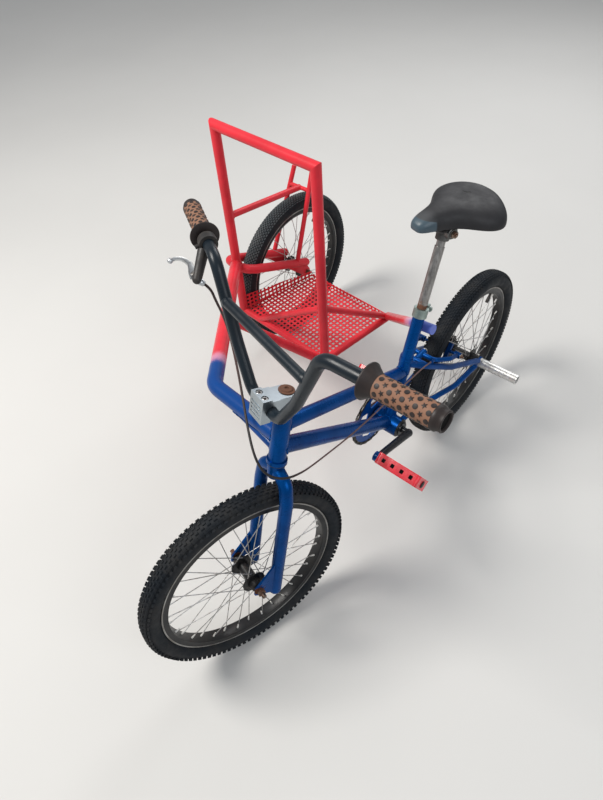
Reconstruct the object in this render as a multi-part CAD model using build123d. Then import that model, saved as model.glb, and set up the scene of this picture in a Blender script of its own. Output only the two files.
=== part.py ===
from build123d import *
import math
import os

# A small bicycle with a welded sidecar, built in millimetres.
# Working axes: +X to the rider's left, +Y to the rear, +Z up, rear axle at X0 Y0.
# At the end everything is moved so that the base's centre is the origin.

# Running clearances
SEAT_GAP = 0.3
BEARING_GAP = 0.3

# Wheels
WHEEL_R = 253.0
TYRE_W = 50.0
RIM_BED_R = WHEEL_R - 48.8
RIM_INNER_R = RIM_BED_R - 14.2
RIM_W = 28.8
RIM_WALL = 2.0
RIM_FLANGE_R = RIM_BED_R + 5.8
SPOKE_R = 1.0
SPOKE_COUNT = 36
SPOKE_CROSS_DEG = 58.0
HUB_BARREL_R = 13.0
HUB_FLANGE_R = 27.0
HUB_FLANGE_T = 3.0
AXLE_R = 5.0
AXLE_NUT_R = 9.5
AXLE_NUT_T = 8.0
DROPOUT_T = 5.0
FRONT_OLN = 98.0
REAR_OLN = 110.0
FRONT_FLANGE_X = 26.0
REAR_FLANGE_X = 30.0

# Frame
WHEELBASE = 2 * WHEEL_R + 382.0
HEAD_ANGLE = 73.26
FORK_OFFSET = 37.0
STEER_REST = -14.8
BAR_SKEW = -1.6
BAR_ROLL = 1.4
BB_Y = -(WHEEL_R + 115.3)
BB_Z = WHEEL_R + 41.6
BB_HALF = 36.0
BB_R = 25.5
BB_BORE_R = 22.0
SEAT_ANGLE = 70.85
SEAT_TUBE_R = 14.3
SEAT_SLEEVE_R = 16.0
SEAT_WELD_UP = 193.0
SEAT_TUBE_UP = 302.0
SEATPOST_R = 11.1
SEATPOST_UP = SEAT_TUBE_UP + 192.0
HEAD_TUBE_R = 18.0
HEAD_BORE_R = 13.5
HEAD_LOW_UP = WHEEL_R + 77.0
HEAD_LENGTH = 112.0
CUP_R = 21.0
CUP_T = 8.0
TOP_TUBE_R = 15.0
DOWN_TUBE_R = 17.5
TOP_TUBE_HEAD_DROP = 30.0
DOWN_TUBE_HEAD_RISE = 30.0
TOP_TUBE_SEAT_UP = 152.0
CHAIN_STAY_R = 7.5
SEAT_STAY_R = 8.0
SEAT_STAY_UP = 178.0

# Steering
STEERER_R = 12.7
LEG_R = 14.0
LEG_X = 47.5
LEG_SET_BACK = 8.0
LEG_END_UP = -26.0
CROWN_UP = WHEEL_R + 50.0
STEM_HEIGHT = 37.0
STEM_W = 38.0
BAR_R = 11.1
BAR_RISE = 11.6
BAR_ROLL_DROP = 20.6
BAR_REACH = 41.7
BAR_HALF = 348.0
BAR_HEIGHT = 213.0
GRIP_R = 17.0
GRIP_START = 238.0
GRIP_FLANGE_R = 31.0

# Drive
CRANK_LENGTH = 145.0
CRANK_ANGLE = 161.0
CRANK_X = 62.0
CHAIN_X = -42.5
RING_TEETH = 44
COG_TEETH = 16
CHAIN_PITCH = 12.7
CHAIN_W = 6.5
CHAIN_H = 8.0
PEDAL_START = 76.0
PEDAL_LENGTH = 112.0
PEDAL_DEPTH = 85.0
PEDAL_T = 28.0
PEDAL_TILT = 121.0

# Sidecar
SIDE_X = -674.6
SIDE_BACK = 13.7
HOOP_R = 13.5
HOOP_HEIGHT = 604.0
HOOP_OUTER = (-663.0, 17.0 - WHEEL_R, WHEEL_R - 10.0)
HOOP_INNER = (-304.0, -5.0 - WHEEL_R, WHEEL_R - 7.0)
OUTRIGGER_R = 17.5
PAN_Z = WHEEL_R - 6.0
PAN_EDGE_R = 10.0
PAN_SHEET_T = 2.5
PAN_REAR_INNER = (-268.0, 7.0)
PAN_REAR_OUTER = (-590.0, 21.0)
PAN_WALL_H = 58.0
PAN_WALL_REAR_H = 26.0
PAN_LIP_H = 18.0
PAN_LIP_END_H = 10.0
PAN_HOLE = 21.0
PAN_PITCH = 30.0
PAN_COLUMNS = 12
PAN_ROWS = 9
PAN_RIM = 17.0
STRUT_R = 7.5
BRACE_R = 9.5
LINK_R = 12.5
GUSSET_R = 9.0
FRONT_STRUT_R = 12.5


def vec(x, y, z):
    """A point as a vector."""
    return Vector(x, y, z)


def side_dir(degrees):
    """A direction in the bicycle's middle plane, measured from the rear towards up."""
    a = math.radians(degrees)
    return Vector(0, math.cos(a), math.sin(a))


HEAD_DIR = side_dir(HEAD_ANGLE)
HEAD_FORWARD = Vector(0, -HEAD_DIR.Z, HEAD_DIR.Y)
AXLE_STRAIGHT = vec(0, -WHEELBASE, WHEEL_R)
STEER_FOOT = AXLE_STRAIGHT - HEAD_FORWARD * FORK_OFFSET
STEER_AXIS = Axis(STEER_FOOT, HEAD_DIR)
BB = vec(0, BB_Y, BB_Z)
SEAT_DIR = side_dir(SEAT_ANGLE)
REAR_AXLE = vec(0, 0, WHEEL_R)
SIDE_Y = HOOP_OUTER[1] + WHEEL_R + SIDE_BACK
SIDE_AXLE = vec(SIDE_X, SIDE_Y, WHEEL_R)
HOOP_TOP_Z = HOOP_OUTER[2] + HOOP_HEIGHT
STEM_LOW_UP = HEAD_LOW_UP + HEAD_LENGTH + CUP_T + 9.0
STEM_PLATE_UP = STEM_LOW_UP + STEM_HEIGHT - 4.0
BAR_UP = STEM_LOW_UP + BAR_RISE
BAR_ROLL_UP = BAR_UP - BAR_ROLL_DROP


def on_head(up, forward=0.0, across=0.0):
    """A point given along the steering axis, ahead of it and across it."""
    return STEER_FOOT + HEAD_DIR * up + HEAD_FORWARD * forward + Vector(across, 0, 0)


def on_seat(up):
    """A point on the seat tube's axis."""
    return BB + SEAT_DIR * up


def steered(shape):
    """Turns a shape made straight ahead to the steering's rest angle."""
    return shape.rotate(STEER_AXIS, STEER_REST)


def steered_bar(shape):
    """The same for what sits on the stem, which is set a little askew."""
    level = Axis(on_head(BAR_ROLL_UP), Vector(0, 1, 0))
    return shape.rotate(level, BAR_ROLL).rotate(STEER_AXIS, STEER_REST + BAR_SKEW)


def rod(start, end, radius):
    """A straight round bar between two points."""
    run = end - start
    plane = Plane(origin=start, z_dir=run)
    return Solid.make_cylinder(radius, run.length, plane)


def taper(start, end, start_radius, end_radius):
    """A straight round bar that changes size between two points."""
    run = end - start
    plane = Plane(origin=start, z_dir=run)
    return Solid.make_cone(start_radius, end_radius, run.length, plane)


def bent_rod(points, bends, radius):
    """A round bar along straight runs joined by arcs."""
    path = FilletPolyline(*points, radius=bends)
    start = Plane(origin=path @ 0, z_dir=path % 0)
    return sweep(start * Circle(radius), path=path).solid()


def whole(shape):
    """The largest solid of a piece, without any sliver a cut left."""
    return shape.solids().sort_by(SortBy.VOLUME)[-1]


def cope(tube, *others):
    """Cuts a tube's ends to the pieces it meets and keeps the length between them."""
    for other in others:
        tube = tube - other
    return tube.solids().sort_by(SortBy.VOLUME)[-1]


def group(*shapes):
    """Pieces of one welded unit: what touches becomes one solid, the rest stays apart."""
    return shapes[0].fuse(*shapes[1:])


def turned(points, axis_origin, axis_dir):
    """A ring or disc turned about an axis from points of (along, radius)."""
    outline = Polyline(*points, close=True)
    face = make_face(outline)
    body = revolve(face, Axis.X)
    place = Plane(origin=axis_origin, x_dir=axis_dir, z_dir=cross_of(axis_dir))
    return body.moved(place.location).solid()


def cross_of(direction):
    """Any direction square to the one given, as near to up as can be."""
    up = Vector(0, 0, 1)
    return (up - direction * up.dot(direction)).normalized()


def block(centre, size_x, size_y, size_z, x_dir=Vector(1, 0, 0), z_dir=Vector(0, 0, 1)):
    """A box about a centre, along its own axes."""
    place = Plane(origin=centre, x_dir=x_dir, z_dir=z_dir)
    return Box(size_x, size_y, size_z).moved(place.location).solid()


def sheet(points, depth):
    """A flat plate from its corners and the vector of its thickness."""
    face = make_face(Polyline(*points, close=True)).face()
    return Solid.extrude(face, depth)


# Wheels
def tyre(place):
    """A knobbly-section tyre body whose beads sit inside the rim's flanges."""
    half = TYRE_W / 2
    bead = RIM_W / 2 - RIM_WALL - SEAT_GAP
    seat = RIM_BED_R + SEAT_GAP
    lip = RIM_FLANGE_R + SEAT_GAP
    shoulder_r = WHEEL_R - 7.0
    shoulder_x = half * 0.7
    wide_r = WHEEL_R - half
    outline = Polyline((-bead, lip), (-bead, seat), (bead, seat), (bead, lip), (bead + 3, lip + 2))
    outline += ThreePointArc((bead + 3, lip + 2), (half, wide_r), (shoulder_x, shoulder_r))
    outline += ThreePointArc((shoulder_x, shoulder_r), (0, WHEEL_R), (-shoulder_x, shoulder_r))
    outline += ThreePointArc((-shoulder_x, shoulder_r), (-half, wide_r), (-bead - 3, lip + 2))
    outline += Line((-bead - 3, lip + 2), (-bead, lip))
    body = revolve(make_face(outline), Axis.X)
    return body.moved(place.location).solid()


def rim(place):
    """A box-section rim with two flanges and a well."""
    half = RIM_W / 2
    well = half - RIM_WALL
    base = half - 4.0
    points = [
        (-half, RIM_FLANGE_R),
        (-half, RIM_BED_R - 6.0),
        (-base, RIM_INNER_R),
        (base, RIM_INNER_R),
        (half, RIM_BED_R - 6.0),
        (half, RIM_FLANGE_R),
        (well, RIM_FLANGE_R),
        (well, RIM_BED_R),
        (-well, RIM_BED_R),
        (-well, RIM_FLANGE_R),
    ]
    body = revolve(make_face(Polyline(*points, close=True)), Axis.X)
    return body.moved(place.location).solid()


def hub_profile(flange_x, oln):
    """Points of (along, radius) for a hub shell with flanges and end cones."""
    bore = AXLE_R + BEARING_GAP
    end = oln / 2 - SEAT_GAP
    inner = flange_x - HUB_FLANGE_T / 2
    outer = flange_x + HUB_FLANGE_T / 2
    right = [
        (inner, HUB_BARREL_R),
        (inner, HUB_FLANGE_R),
        (outer, HUB_FLANGE_R),
        (outer, HUB_BARREL_R + 3),
        (end - 6, HUB_BARREL_R),
        (end, AXLE_R + 3),
        (end, bore),
    ]
    left = [(-x, r) for x, r in reversed(right)]
    return left + right


def hub_and_spokes(place, flange_x, oln):
    """A hub with two sets of crossed spokes fused into its flanges."""
    body = revolve(make_face(Polyline(*hub_profile(flange_x, oln), close=True)), Axis.X)
    spokes = []
    root_r = HUB_FLANGE_R - 4.0
    tip_r = RIM_INNER_R - SEAT_GAP
    for i in range(SPOKE_COUNT):
        side = 1 if i % 2 else -1
        pair = i // 2
        lead = 1 if pair % 2 else -1
        at_rim = math.radians(360.0 / SPOKE_COUNT * i)
        at_hub = at_rim + lead * math.radians(SPOKE_CROSS_DEG)
        root_x = side * (flange_x + lead * 1.4)
        tip_x = side * (3.0 + lead * 1.2)
        root = Vector(root_x, root_r * math.cos(at_hub), root_r * math.sin(at_hub))
        tip = Vector(tip_x, tip_r * math.cos(at_rim), tip_r * math.sin(at_rim))
        spokes.append(rod(root, tip, SPOKE_R))
    laced = body.solid().fuse(*spokes)
    return whole(laced).moved(place.location)


def wheel_place(centre, camber=0.0, yaw=0.0):
    """The plane of a wheel: its X runs along the axle."""
    c = math.radians(camber)
    y = math.radians(yaw)
    axle = Vector(math.cos(c) * math.cos(y), math.cos(c) * math.sin(y), -math.sin(c))
    return Plane(origin=centre, x_dir=axle, z_dir=cross_of(axle))


def axle_set(centre, half_length, nut_in):
    """A plain axle with a nut outside each dropout."""
    bar = rod(centre - Vector(half_length, 0, 0), centre + Vector(half_length, 0, 0), AXLE_R)
    for side in (1, -1):
        start = centre + Vector(side * nut_in, 0, 0)
        nut = Plane(origin=start, z_dir=Vector(side, 0, 0)) * RegularPolygon(AXLE_NUT_R, 6)
        bar = bar + extrude(nut, AXLE_NUT_T)
    return bar.solid()


# Bicycle frame
def head_tube():
    """The head tube with a pressed cup at each end."""
    low = on_head(HEAD_LOW_UP)
    high = on_head(HEAD_LOW_UP + HEAD_LENGTH)
    body = rod(low, high, HEAD_TUBE_R)
    body = body + rod(low - HEAD_DIR * CUP_T, low, CUP_R)
    body = body + rod(high, high + HEAD_DIR * CUP_T, CUP_R)
    bore = rod(low - HEAD_DIR * 20, high + HEAD_DIR * 20, HEAD_BORE_R)
    return whole(body - bore)


def seat_tube(shell):
    """The seat tube with the thicker sleeve where the top tube joins it."""
    body = rod(BB, on_seat(SEAT_TUBE_UP), SEAT_TUBE_R)
    sleeve = rod(on_seat(SEAT_WELD_UP - 44), on_seat(SEAT_WELD_UP), SEAT_SLEEVE_R)
    body = body + sleeve
    bore = rod(on_seat(60), on_seat(SEAT_TUBE_UP + 5), SEATPOST_R + SEAT_GAP)
    return cope(body - bore, shell)


def bottom_bracket():
    """The wide shell that takes a one-piece crank."""
    shell = rod(BB - Vector(BB_HALF, 0, 0), BB + Vector(BB_HALF, 0, 0), BB_R)
    bore = rod(BB - Vector(BB_HALF + 2, 0, 0), BB + Vector(BB_HALF + 2, 0, 0), BB_BORE_R)
    return whole(shell - bore)


def dropout(centre, x, reach, rise):
    """A flat plate with rounded ends that holds an axle, from the axle to the stays."""
    eye_r = 16.0
    tail_r = 10.0
    inner = x - DROPOUT_T / 2
    eye = rod(vec(inner, centre.Y, centre.Z), vec(inner + DROPOUT_T, centre.Y, centre.Z), eye_r)
    tail_y = centre.Y - reach
    tail_z = centre.Z + rise
    tail = rod(vec(inner, tail_y, tail_z), vec(inner + DROPOUT_T, tail_y, tail_z), tail_r)
    points = [(centre.Y, centre.Z - eye_r), (centre.Y, centre.Z + eye_r)]
    points += [(tail_y, tail_z + tail_r), (tail_y, tail_z - tail_r)]
    web = extrude(Plane.YZ.offset(inner) * make_face(Polyline(*points, close=True)), DROPOUT_T)
    plate = eye + tail + web
    bore = rod(vec(inner - 1, centre.Y, centre.Z), vec(inner + DROPOUT_T + 1, centre.Y, centre.Z), AXLE_R)
    return whole(plate - bore)


def chain_stay(side, shell):
    """One lower stay, bent outward past the tyre, with its dropout."""
    x_drop = REAR_OLN / 2 + DROPOUT_T / 2 + SEAT_GAP
    points = [
        vec(side * 22, BB_Y, BB_Z - 2),
        vec(side * 26, BB_Y + 86, BB_Z - 5),
        vec(side * 41, BB_Y + 142, BB_Z - 11),
        vec(side * (x_drop - 2), -130, WHEEL_R + 9),
        vec(side * x_drop, -26, WHEEL_R + 2),
    ]
    bar = bent_rod(points, (60, 60, 150), CHAIN_STAY_R)
    plate = dropout(REAR_AXLE, side * x_drop, 30, 4)
    bar = bar - rod(BB - Vector(BB_HALF + 9, 0, 0), BB + Vector(BB_HALF + 9, 0, 0), BB_R)
    bar = bar.solids().sort_by(SortBy.VOLUME)[-1]
    return whole(bar + plate)


def on_stay(share, across, rise):
    """A point a share of the way down the upper stays, moved out and up from their straight line."""
    start = on_seat(SEAT_STAY_UP)
    end = REAR_AXLE + Vector(0, -14, 16)
    return start + (end - start) * share + Vector(across, 0, rise)


def seat_stay(side, tube, lower):
    """One upper stay from the seat tube down to the dropout."""
    x_drop = REAR_OLN / 2 + DROPOUT_T / 2 + SEAT_GAP
    points = [
        on_stay(0.0, side * 10, 0.0),
        on_stay(0.142, side * 33, 1.7),
        on_stay(0.48, side * 52, -5.8),
        on_stay(1.0, side * (x_drop + 1), 0.0),
    ]
    bar = bent_rod(points, (60, 200), SEAT_STAY_R)
    return cope(bar, tube, lower)


def seat_clamp():
    """A split collar at the top of the seat tube with its pinch bolt."""
    low = on_seat(SEAT_TUBE_UP)
    high = on_seat(SEAT_TUBE_UP + 22)
    ring = rod(low, high, SEAT_TUBE_R + 3)
    ring = ring - rod(low - SEAT_DIR, high + SEAT_DIR, SEATPOST_R + SEAT_GAP)
    mid = on_seat(SEAT_TUBE_UP + 11) + Vector(0, SEAT_TUBE_R + 7, 0)
    lugs = block(mid, 16, 14, 18, z_dir=SEAT_DIR)
    lugs = lugs - rod(low - SEAT_DIR * 5, high + SEAT_DIR * 5, SEAT_TUBE_R)
    slot = block(mid, 3, 30, 30, z_dir=SEAT_DIR)
    bolt = rod(mid - Vector(17, 0, 0), mid + Vector(17, 0, 0), 3.0)
    nut = rod(mid + Vector(9, 0, 0), mid + Vector(15, 0, 0), 6.0)
    return whole((ring + lugs) - slot + bolt + nut)


def seatpost():
    """The plain post, set into the tube and narrowed for the saddle clamp."""
    low = on_seat(SEAT_TUBE_UP - 120)
    neck = on_seat(SEATPOST_UP - 24)
    top = on_seat(SEATPOST_UP)
    return whole(rod(low, neck, SEATPOST_R) + rod(neck, top, SEATPOST_R * 0.86))


SADDLE_YAW = -16.0
SADDLE_UNDER_UP = 38.0
SADDLE_SECTIONS = (
    # ahead of the post, half width, height of the crown above the flat underside
    (90.0, 14.0, 22.0),
    (78.0, 21.5, 31.0),
    (48.0, 26.0, 37.0),
    (14.0, 38.0, 40.0),
    (-28.0, 76.0, 43.0),
    (-60.0, 86.0, 46.0),
    (-96.0, 75.0, 48.0),
    (-124.0, 34.0, 42.0),
)
RAIL_R = 3.5
RAIL_X = 20.0
RAIL_DROP = 12.0
RAIL_FLAT = 40.0
RAIL_SLOPE = 22.0


def saddle_frame():
    """The plane of the pad's underside above the post, its X to the left and its Y to the rear."""
    top = on_seat(SEATPOST_UP)
    middle = top + Vector(0, 0, SADDLE_UNDER_UP)
    return Plane(origin=middle, x_dir=Vector(1, 0, 0), z_dir=Vector(0, 0, 1)).rotated((0, 0, SADDLE_YAW))


def saddle():
    """A wide padded saddle lofted from a narrow nose to a broad domed tail."""
    frame = saddle_frame()
    sections = []
    for ahead, half, crown in SADDLE_SECTIONS:
        low = frame.origin - frame.y_dir * ahead
        across = frame.x_dir * half
        rise = frame.z_dir * crown
        side = rise * 0.62
        shoulder = across * 0.9
        over = Spline(low - across, low - shoulder + side, low + rise, low + shoulder + side, low + across)
        outline = Wire([over, Line(low + across, low - across)])
        sections.append(Face(outline))
    return Solid.make_loft([face.outer_wire() for face in sections])


def saddle_clamp():
    """The steel cradle on the post's top and the two rails under the pad."""
    frame = saddle_frame()
    centre = frame.origin - frame.z_dir * SEAT_GAP
    level = centre - frame.z_dir * RAIL_DROP
    axle = level - frame.z_dir * 8
    collar = rod(on_seat(SEATPOST_UP - 22), on_seat(SEATPOST_UP + 22), SEATPOST_R + 5)
    collar = collar - rod(on_seat(SEATPOST_UP - 30), on_seat(SEATPOST_UP + SEAT_GAP), SEATPOST_R)
    body = collar + rod(axle - frame.x_dir * 30, axle + frame.x_dir * 30, 4.5)
    for side in (1, -1):
        body = body + rod(axle + frame.x_dir * side * 14, axle + frame.x_dir * side * 28, 15)
        line = frame.x_dir * side * RAIL_X
        flat = frame.y_dir * RAIL_FLAT
        slope = frame.y_dir * RAIL_SLOPE + frame.z_dir * (RAIL_DROP + 2)
        drop = frame.y_dir * -RAIL_SLOPE + frame.z_dir * (RAIL_DROP + 2)
        front = level + line - flat
        rear = level + line + flat
        body = body + bent_rod([front + drop, front, rear, rear + slope], (8, 8), RAIL_R)
    cut = Box(400, 600, 40, align=(Align.CENTER, Align.CENTER, Align.MIN)).moved(Location(centre))
    return whole(body - cut)


def sidecar_leg(foot, top_z, lean_x):
    """The line of one hoop leg from its foot to its mitred top."""
    return vec(*foot), vec(foot[0] + lean_x, foot[1], top_z)


HOOP_OUTER_FOOT, HOOP_OUTER_TOP = sidecar_leg(HOOP_OUTER, HOOP_TOP_Z, 8.0)
HOOP_INNER_FOOT, HOOP_INNER_TOP = sidecar_leg(HOOP_INNER, HOOP_TOP_Z, 0.0)


def mitre_plane_cut(corner, first_dir, second_dir):
    """A big block on the far side of a mitre, used to trim a tube there."""
    normal = (first_dir.normalized() - second_dir.normalized()).normalized()
    plane = Plane(origin=corner, z_dir=normal)
    return Box(120, 120, 120, align=(Align.CENTER, Align.CENTER, Align.MIN)).moved(plane.location)


def hoop_parts():
    """Two legs and a top bar of one tube size, mitred where they meet."""
    bar_dir = HOOP_INNER_TOP - HOOP_OUTER_TOP
    bar_unit = bar_dir.normalized()
    parts = {}
    bar = rod(HOOP_OUTER_TOP - bar_unit * 30, HOOP_INNER_TOP + bar_unit * 30, HOOP_R)
    legs = (
        ("outer", HOOP_OUTER_FOOT, HOOP_OUTER_TOP, bar_unit),
        ("inner", HOOP_INNER_FOOT, HOOP_INNER_TOP, bar_unit * -1),
    )
    for name, foot, top, inward in legs:
        down = (foot - top).normalized()
        leg = rod(foot, top - down * 30, HOOP_R)
        leg = leg - mitre_plane_cut(top, inward, down)
        bar = bar - mitre_plane_cut(top, down, inward)
        parts[name] = leg.solids().sort_by(SortBy.VOLUME)[-1]
    parts["bar"] = bar.solids().sort_by(SortBy.VOLUME)[-1]
    return parts


# Fork, stem and handlebar, made straight ahead
def fork():
    """A steerer with two legs bent out under it and plates that reach forward to the axle."""
    race_low = CROWN_UP - 2
    race_high = HEAD_LOW_UP - CUP_T - SEAT_GAP
    steerer_top = HEAD_LOW_UP + HEAD_LENGTH + CUP_T + 8
    body = rod(on_head(CROWN_UP - 14), on_head(steerer_top), STEERER_R)
    body = body + taper(on_head(race_low - 16), on_head(race_high), STEERER_R + 3, CUP_R - 2)
    plate_x = FRONT_OLN / 2 + SEAT_GAP
    plate = [(-LEG_SET_BACK, 76), (4, 72), (FORK_OFFSET - 6, 34), (FORK_OFFSET + 12, 10)]
    plate += [(FORK_OFFSET + 13, -8), (FORK_OFFSET, -15), (-LEG_SET_BACK, LEG_END_UP)]
    for side in (1, -1):
        points = [
            on_head(CROWN_UP, 0, side * 5),
            on_head(CROWN_UP - 14, 0, side * (LEG_X - 8)),
            on_head(CROWN_UP - 60, -2, side * LEG_X),
            on_head(LEG_END_UP, -LEG_SET_BACK, side * LEG_X),
        ]
        leg = bent_rod(points, (24, 60), LEG_R)
        tip = Sphere(LEG_R).moved(Location(on_head(LEG_END_UP, -LEG_SET_BACK, side * LEG_X)))
        inner = plate_x if side > 0 else -plate_x - DROPOUT_T
        outline = [on_head(up, forward, inner) for forward, up in plate]
        web = sheet(outline, Vector(DROPOUT_T, 0, 0))
        body = body + leg + tip + web
    bore = rod(AXLE_STRAIGHT - Vector(80, 0, 0), AXLE_STRAIGHT + Vector(80, 0, 0), AXLE_R)
    return whole(body - bore)


BAR_CLAMP = on_head(BAR_UP, BAR_REACH)
ARM_H = STEM_HEIGHT - 7.0
JAW_W = 42.0
JAW_H = 44.0
CAP_DEPTH = 20.0
CAP_RISE = 26.0
CAP_DROP = 24.0


def bar_bore():
    """A cutter along the clamped part of the handlebar."""
    return rod(BAR_CLAMP - Vector(60, 0, 0), BAR_CLAMP + Vector(60, 0, 0), BAR_R + SEAT_GAP)


def head_block(up, forward, width, depth, height):
    """A box square to the steering axis, from its centre."""
    return block(on_head(up, forward), width, depth, height, z_dir=HEAD_DIR)


def stem():
    """The quill's collar and the arm that carries the back half of the clamp."""
    collar = rod(on_head(STEM_LOW_UP), on_head(STEM_PLATE_UP), 16.5)
    reach = BAR_REACH - SEAT_GAP
    arm = head_block(STEM_PLATE_UP - ARM_H / 2, reach / 2, STEM_W, reach, ARM_H)
    jaw = head_block(BAR_UP, reach - 8, JAW_W, 16, JAW_H)
    body = collar + arm + jaw
    body = body - rod(on_head(STEM_LOW_UP - 30), on_head(STEM_LOW_UP + 2), STEERER_R + SEAT_GAP)
    return whole(body - bar_bore())


def stem_cap():
    """The front half of the clamp with two sunk bolts and ribs across its face."""
    middle = BAR_REACH + SEAT_GAP + CAP_DEPTH / 2
    body = head_block(BAR_UP + (CAP_RISE - CAP_DROP) / 2, middle, JAW_W, CAP_DEPTH, CAP_RISE + CAP_DROP)
    top = BAR_UP + CAP_RISE
    for x in (-10, 10):
        body = body - rod(on_head(top - 6, middle, x), on_head(top + 1, middle, x), 6.5)
        body = body + rod(on_head(top - 7, middle, x), on_head(top - 2, middle, x), 5)
    for i in range(4):
        body = body - head_block(BAR_UP - 14 + i * 8, middle + CAP_DEPTH / 2, JAW_W - 10, 3, 3)
    return whole(body - bar_bore())


def stem_bolt():
    """The big washer and hexagon head on top of the quill."""
    low = on_head(STEM_PLATE_UP)
    washer = rod(low, low + HEAD_DIR * 3, 14.5)
    head = Plane(origin=low + HEAD_DIR * 3, z_dir=HEAD_DIR) * RegularPolygon(8.5, 6)
    return whole(washer + extrude(head, 6))


BAR_POINTS = (
    # each bend of the left half, from the middle of the clamp
    (46.0, 0.0, 0.0),
    (98.0, 12.45, 77.0),
    (160.6, 30.95, BAR_HEIGHT - 3.0),
)
BAR_END = (BAR_HALF, 77.95, BAR_HEIGHT)
BAR_BENDS = (32.0, 150.0, 38.0)
CROSSBAR_R = 9.5
CROSSBAR_AT = (121.0, 19.15, 146.0)


def on_bar(point):
    """A point given from the middle of the handlebar's clamp."""
    return BAR_CLAMP + Vector(*point)


def handlebar():
    """One tall bar, bent three times on each side."""
    half = [on_bar(p) for p in BAR_POINTS + (BAR_END,)]
    other = [vec(-p.X, p.Y, p.Z) for p in half]
    bends = list(BAR_BENDS)
    return bent_rod(other[::-1] + half, bends[::-1] + bends, BAR_R)


def crossbar(bar):
    """The straight brace welded between the two risers."""
    x, back, up = CROSSBAR_AT
    return cope(rod(on_bar((-x, back, up)), on_bar((x, back, up)), CROSSBAR_R), bar)


def bar_end_frame(side):
    """The corner of the last bend and the direction of the grip."""
    x, back, up = BAR_POINTS[-1]
    corner = on_bar((side * x, back, up))
    tip = on_bar((side * BAR_END[0], BAR_END[1], BAR_END[2]))
    return corner, (tip - corner).normalized(), tip


def grip(side):
    """A soft sleeve with a wide guard ring at its inner end and a flared open outer end."""
    _, along, tip = bar_end_frame(side)
    length = BAR_HALF - GRIP_START + 6
    start = tip + along * 6 - along * length
    bore = BAR_R + SEAT_GAP
    points = [
        (0, bore),
        (0, GRIP_FLANGE_R - 2),
        (2, GRIP_FLANGE_R),
        (5, GRIP_FLANGE_R),
        (8, GRIP_R + 5),
        (14, GRIP_R),
        (length - 12, GRIP_R),
        (length - 5, GRIP_R + 4),
        (length, GRIP_R + 3),
        (length, bore),
    ]
    return turned(points, start, along)


LEVER_CLAMP_X = 216.0
LEVER_BODY_END = (-185.34, -1.93, BAR_HEIGHT - 42.7)
ADJUSTER_END = (-181.49, 6.96, BAR_HEIGHT - 54.15)


def brake_lever():
    """The clamp ring, the body under it and the cable's adjuster barrel."""
    corner, along, _ = bar_end_frame(-1)
    centre = corner + along * ((LEVER_CLAMP_X - BAR_POINTS[-1][0]) / abs(along.X))
    ring = rod(centre - along * 9, centre + along * 9, BAR_R + 6)
    body_end = on_bar(LEVER_BODY_END)
    body_start = centre + Vector(2, -12, -10)
    body = taper(body_start, body_end, 10.5, 8.5)
    bolt = rod(centre + Vector(-4, -14, -2), centre + Vector(-6, -23, -3), 4)
    adjuster_end = on_bar(ADJUSTER_END)
    barrel = rod(body_end - (adjuster_end - body_end) * 0.4, adjuster_end, 5)
    joined = ring + body + bolt + barrel + Sphere(8.5).moved(Location(body_end))
    bore = rod(centre - along * 40, centre + along * 40, BAR_R + SEAT_GAP)
    return cope(joined, bore)


BLADE_ROOT = (-194.26, -3.85, BAR_HEIGHT - 40.2)
BLADE_POINTS = (
    (-229.5, 8.1, BAR_HEIGHT - 38.3),
    (-249.1, 5.2, BAR_HEIGHT - 37.2),
    (-264.6, -4.6, BAR_HEIGHT - 36.2),
    (-263.1, -18.9, BAR_HEIGHT - 36.1),
)


def brake_blade():
    """The short cranked aluminium lever that two fingers pull, with a ball at its end."""
    points = [on_bar(p) for p in BLADE_POINTS]
    root = taper(on_bar(BLADE_ROOT), points[0], 6.5, 5.0)
    blade = root + Sphere(5.0).moved(Location(points[0])) + bent_rod(points, (30, 8), 4.2)
    knob = Sphere(6.2).moved(Location(points[-1]))
    return cope(blade + knob, brake_lever())


# Drive
def belt(radius_add):
    """The outline of the chain's run round the ring and the cog, moved out or in."""
    ring = Circle(pitch_radius(RING_TEETH) + radius_add)
    cog = Pos((REAR_AXLE - BB).length, 0) * Circle(pitch_radius(COG_TEETH) + radius_add)
    return make_hull(ring.edges() + cog.edges())


def pitch_radius(teeth):
    """The pitch radius of a sprocket for this chain."""
    return CHAIN_PITCH / (2 * math.sin(math.pi / teeth))


def chain():
    """The chain as one closed band round its real path."""
    start = vec(CHAIN_X - CHAIN_W / 2, BB_Y, BB_Z)
    plane = Plane(origin=start, x_dir=REAR_AXLE - BB, z_dir=Vector(1, 0, 0))
    band = belt(CHAIN_H / 2) - belt(-CHAIN_H / 2)
    return whole(extrude(plane * band, CHAIN_W))


RING_T = 3.0
RING_SLOTS = 5


def chainring():
    """A flat ring plate with slots and a centre hole for the crank."""
    radius = pitch_radius(RING_TEETH) - CHAIN_H / 2 - SEAT_GAP
    plane = Plane(origin=vec(CHAIN_X - RING_T / 2, BB_Y, BB_Z), z_dir=Vector(1, 0, 0))
    face = Circle(radius) - Circle(12)
    slot_r = radius * 0.62
    for i in range(RING_SLOTS):
        turn = 360.0 / RING_SLOTS * i
        spot = Rot(0, 0, turn) * Pos(slot_r, 0)
        face = face - spot * RectangleRounded(radius * 0.36, radius * 0.5, 8)
    return extrude(plane * face, RING_T).solid()


def crank_arm_dir(side):
    """The direction of one crank arm; the two point opposite ways."""
    return side_dir(CRANK_ANGLE + (0 if side > 0 else 180))


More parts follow.
